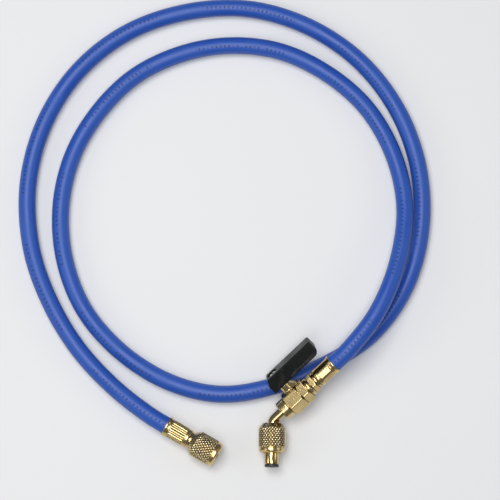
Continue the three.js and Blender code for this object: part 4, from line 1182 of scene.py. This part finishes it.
# A slotted steel screw in the lever's recess holds it down on the stem.
SCREW_HEAD_DIAMETER = 6
SCREW_HEAD_HEIGHT = 1.7
SCREW_SHANK = 1.8
SCREW_SLOT_WIDTH = 0.9
SCREW_SLOT_DEPTH = 0.8
SCREW_LENGTH = 5.7
SCREW_TURN = 0.5
screw_seat = STEM_TOP + 0.6 + SCREW_WEB
screw_top = screw_seat + SCREW_HEAD_HEIGHT
head, shank, slot = SCREW_HEAD_DIAMETER / 2, SCREW_SHANK / 2, SCREW_SLOT_WIDTH / 2
screw = spun("lever_screw_turning", eased([
    (STEM_TOP - SCREW_LENGTH, 0, 0), (STEM_TOP - SCREW_LENGTH, shank, 0.3), (screw_seat, shank, 0.1),
    (screw_seat, head, 0.2), (screw_top, head, 0.9), (screw_top, 0, 0)]), UPRIGHT, 64)
slot_place = UPRIGHT @ Matrix.Rotation(SCREW_TURN, 4, "Z")
slot_floor = screw_top - SCREW_SLOT_DEPTH
carve(screw, slab("slot", oblong(-4, 4, -slot, slot), slot_floor, screw_top + 1, slot_place))
surfaced(screw, bright_nickel, crease=24, flat_faced=True)
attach(screw, "lever")
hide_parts("lever_screw")

# Inside the body, out of sight, a nickelled ball turns between two white fluoropolymer rings, on a
# brass stem. Their plain solids are right as they are and only take their finishes.
SEAT_WHITE = (0.82, 0.81, 0.77, 1)
SEAT_CREAM = (0.70, 0.68, 0.62, 1)
white_plastic = mottled("fluoropolymer", SEAT_WHITE, SEAT_CREAM, (0.34, 0.5), 0.004, 0.8, Roughness=0.4)
for node, material in (
    ("rear_seat", white_plastic), ("front_seat", white_plastic),
    ("valve_ball", bright_nickel), ("valve_spindle", turned_brass),
):
    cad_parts[node].material_slots[0].material = material

# The floor is plain and pale. One soft light stands over the camera, one in front and a small one
# beside it draw bright lines along the brass, and two weak ones fill the sides.
FLOOR_SIZE = 6
FLOOR_GREY = (0.83, 0.83, 0.83, 1)
FLOOR_WORN = (0.81, 0.81, 0.81, 1)


def floor_paint():
    """Plain pale paint, a little uneven."""
    material, tree, shader = finish("pale floor", Roughness=0.85)
    spread = noise(tree, add(tree, "ShaderNodeTexCoord").outputs["Object"], 3.0, 2)
    paper = mixed(tree, ramped(tree, spread, 0.3, 0.7), FLOOR_GREY, FLOOR_WORN)
    tree.links.new(paper, shader.inputs["Base Color"])
    return material


floor_mesh = bpy.data.meshes.new("floor")
half = FLOOR_SIZE / 2
corners = [(x, y, 0) for x, y in oblong(-half, half, -half, half)]
floor_mesh.from_pydata(corners, [], [(0, 1, 2, 3)])
floor_mesh.materials.append(floor_paint())
floor = linked("floor", floor_mesh)


def lamp(name, place, size, power):
    """A square soft light that faces the middle of the hose."""
    light = bpy.data.lights.new(name, "AREA")
    light.shape = "SQUARE"
    light.size = size
    light.energy = power
    holder = linked(name, light)
    holder.location = place
    holder.rotation_euler = (CAMERA_TARGET - Vector(place)).to_track_quat("-Z", "Y").to_euler()


lamp("overhead", (-0.3, 0.4, 1.6), 0.85, 14)
lamp("front", (-0.2, -0.42, 1.5), 0.7, 5)
lamp("flash", (0.12, -0.15, 1.5), 0.14, 2.5)
lamp("left fill", (-1.3, -0.2, 0.8), 0.6, 2.5)
lamp("right fill", (1.3, 0.3, 0.8), 0.6, 1.5)
world = bpy.data.worlds.new("room")
world.use_nodes = True
world.node_tree.nodes["Background"].inputs["Color"].default_value = (0.9, 0.93, 1.0, 1)
world.node_tree.nodes["Background"].inputs["Strength"].default_value = 0.19
bpy.context.scene.world = world
bpy.context.scene.view_settings.view_transform = "Standard"
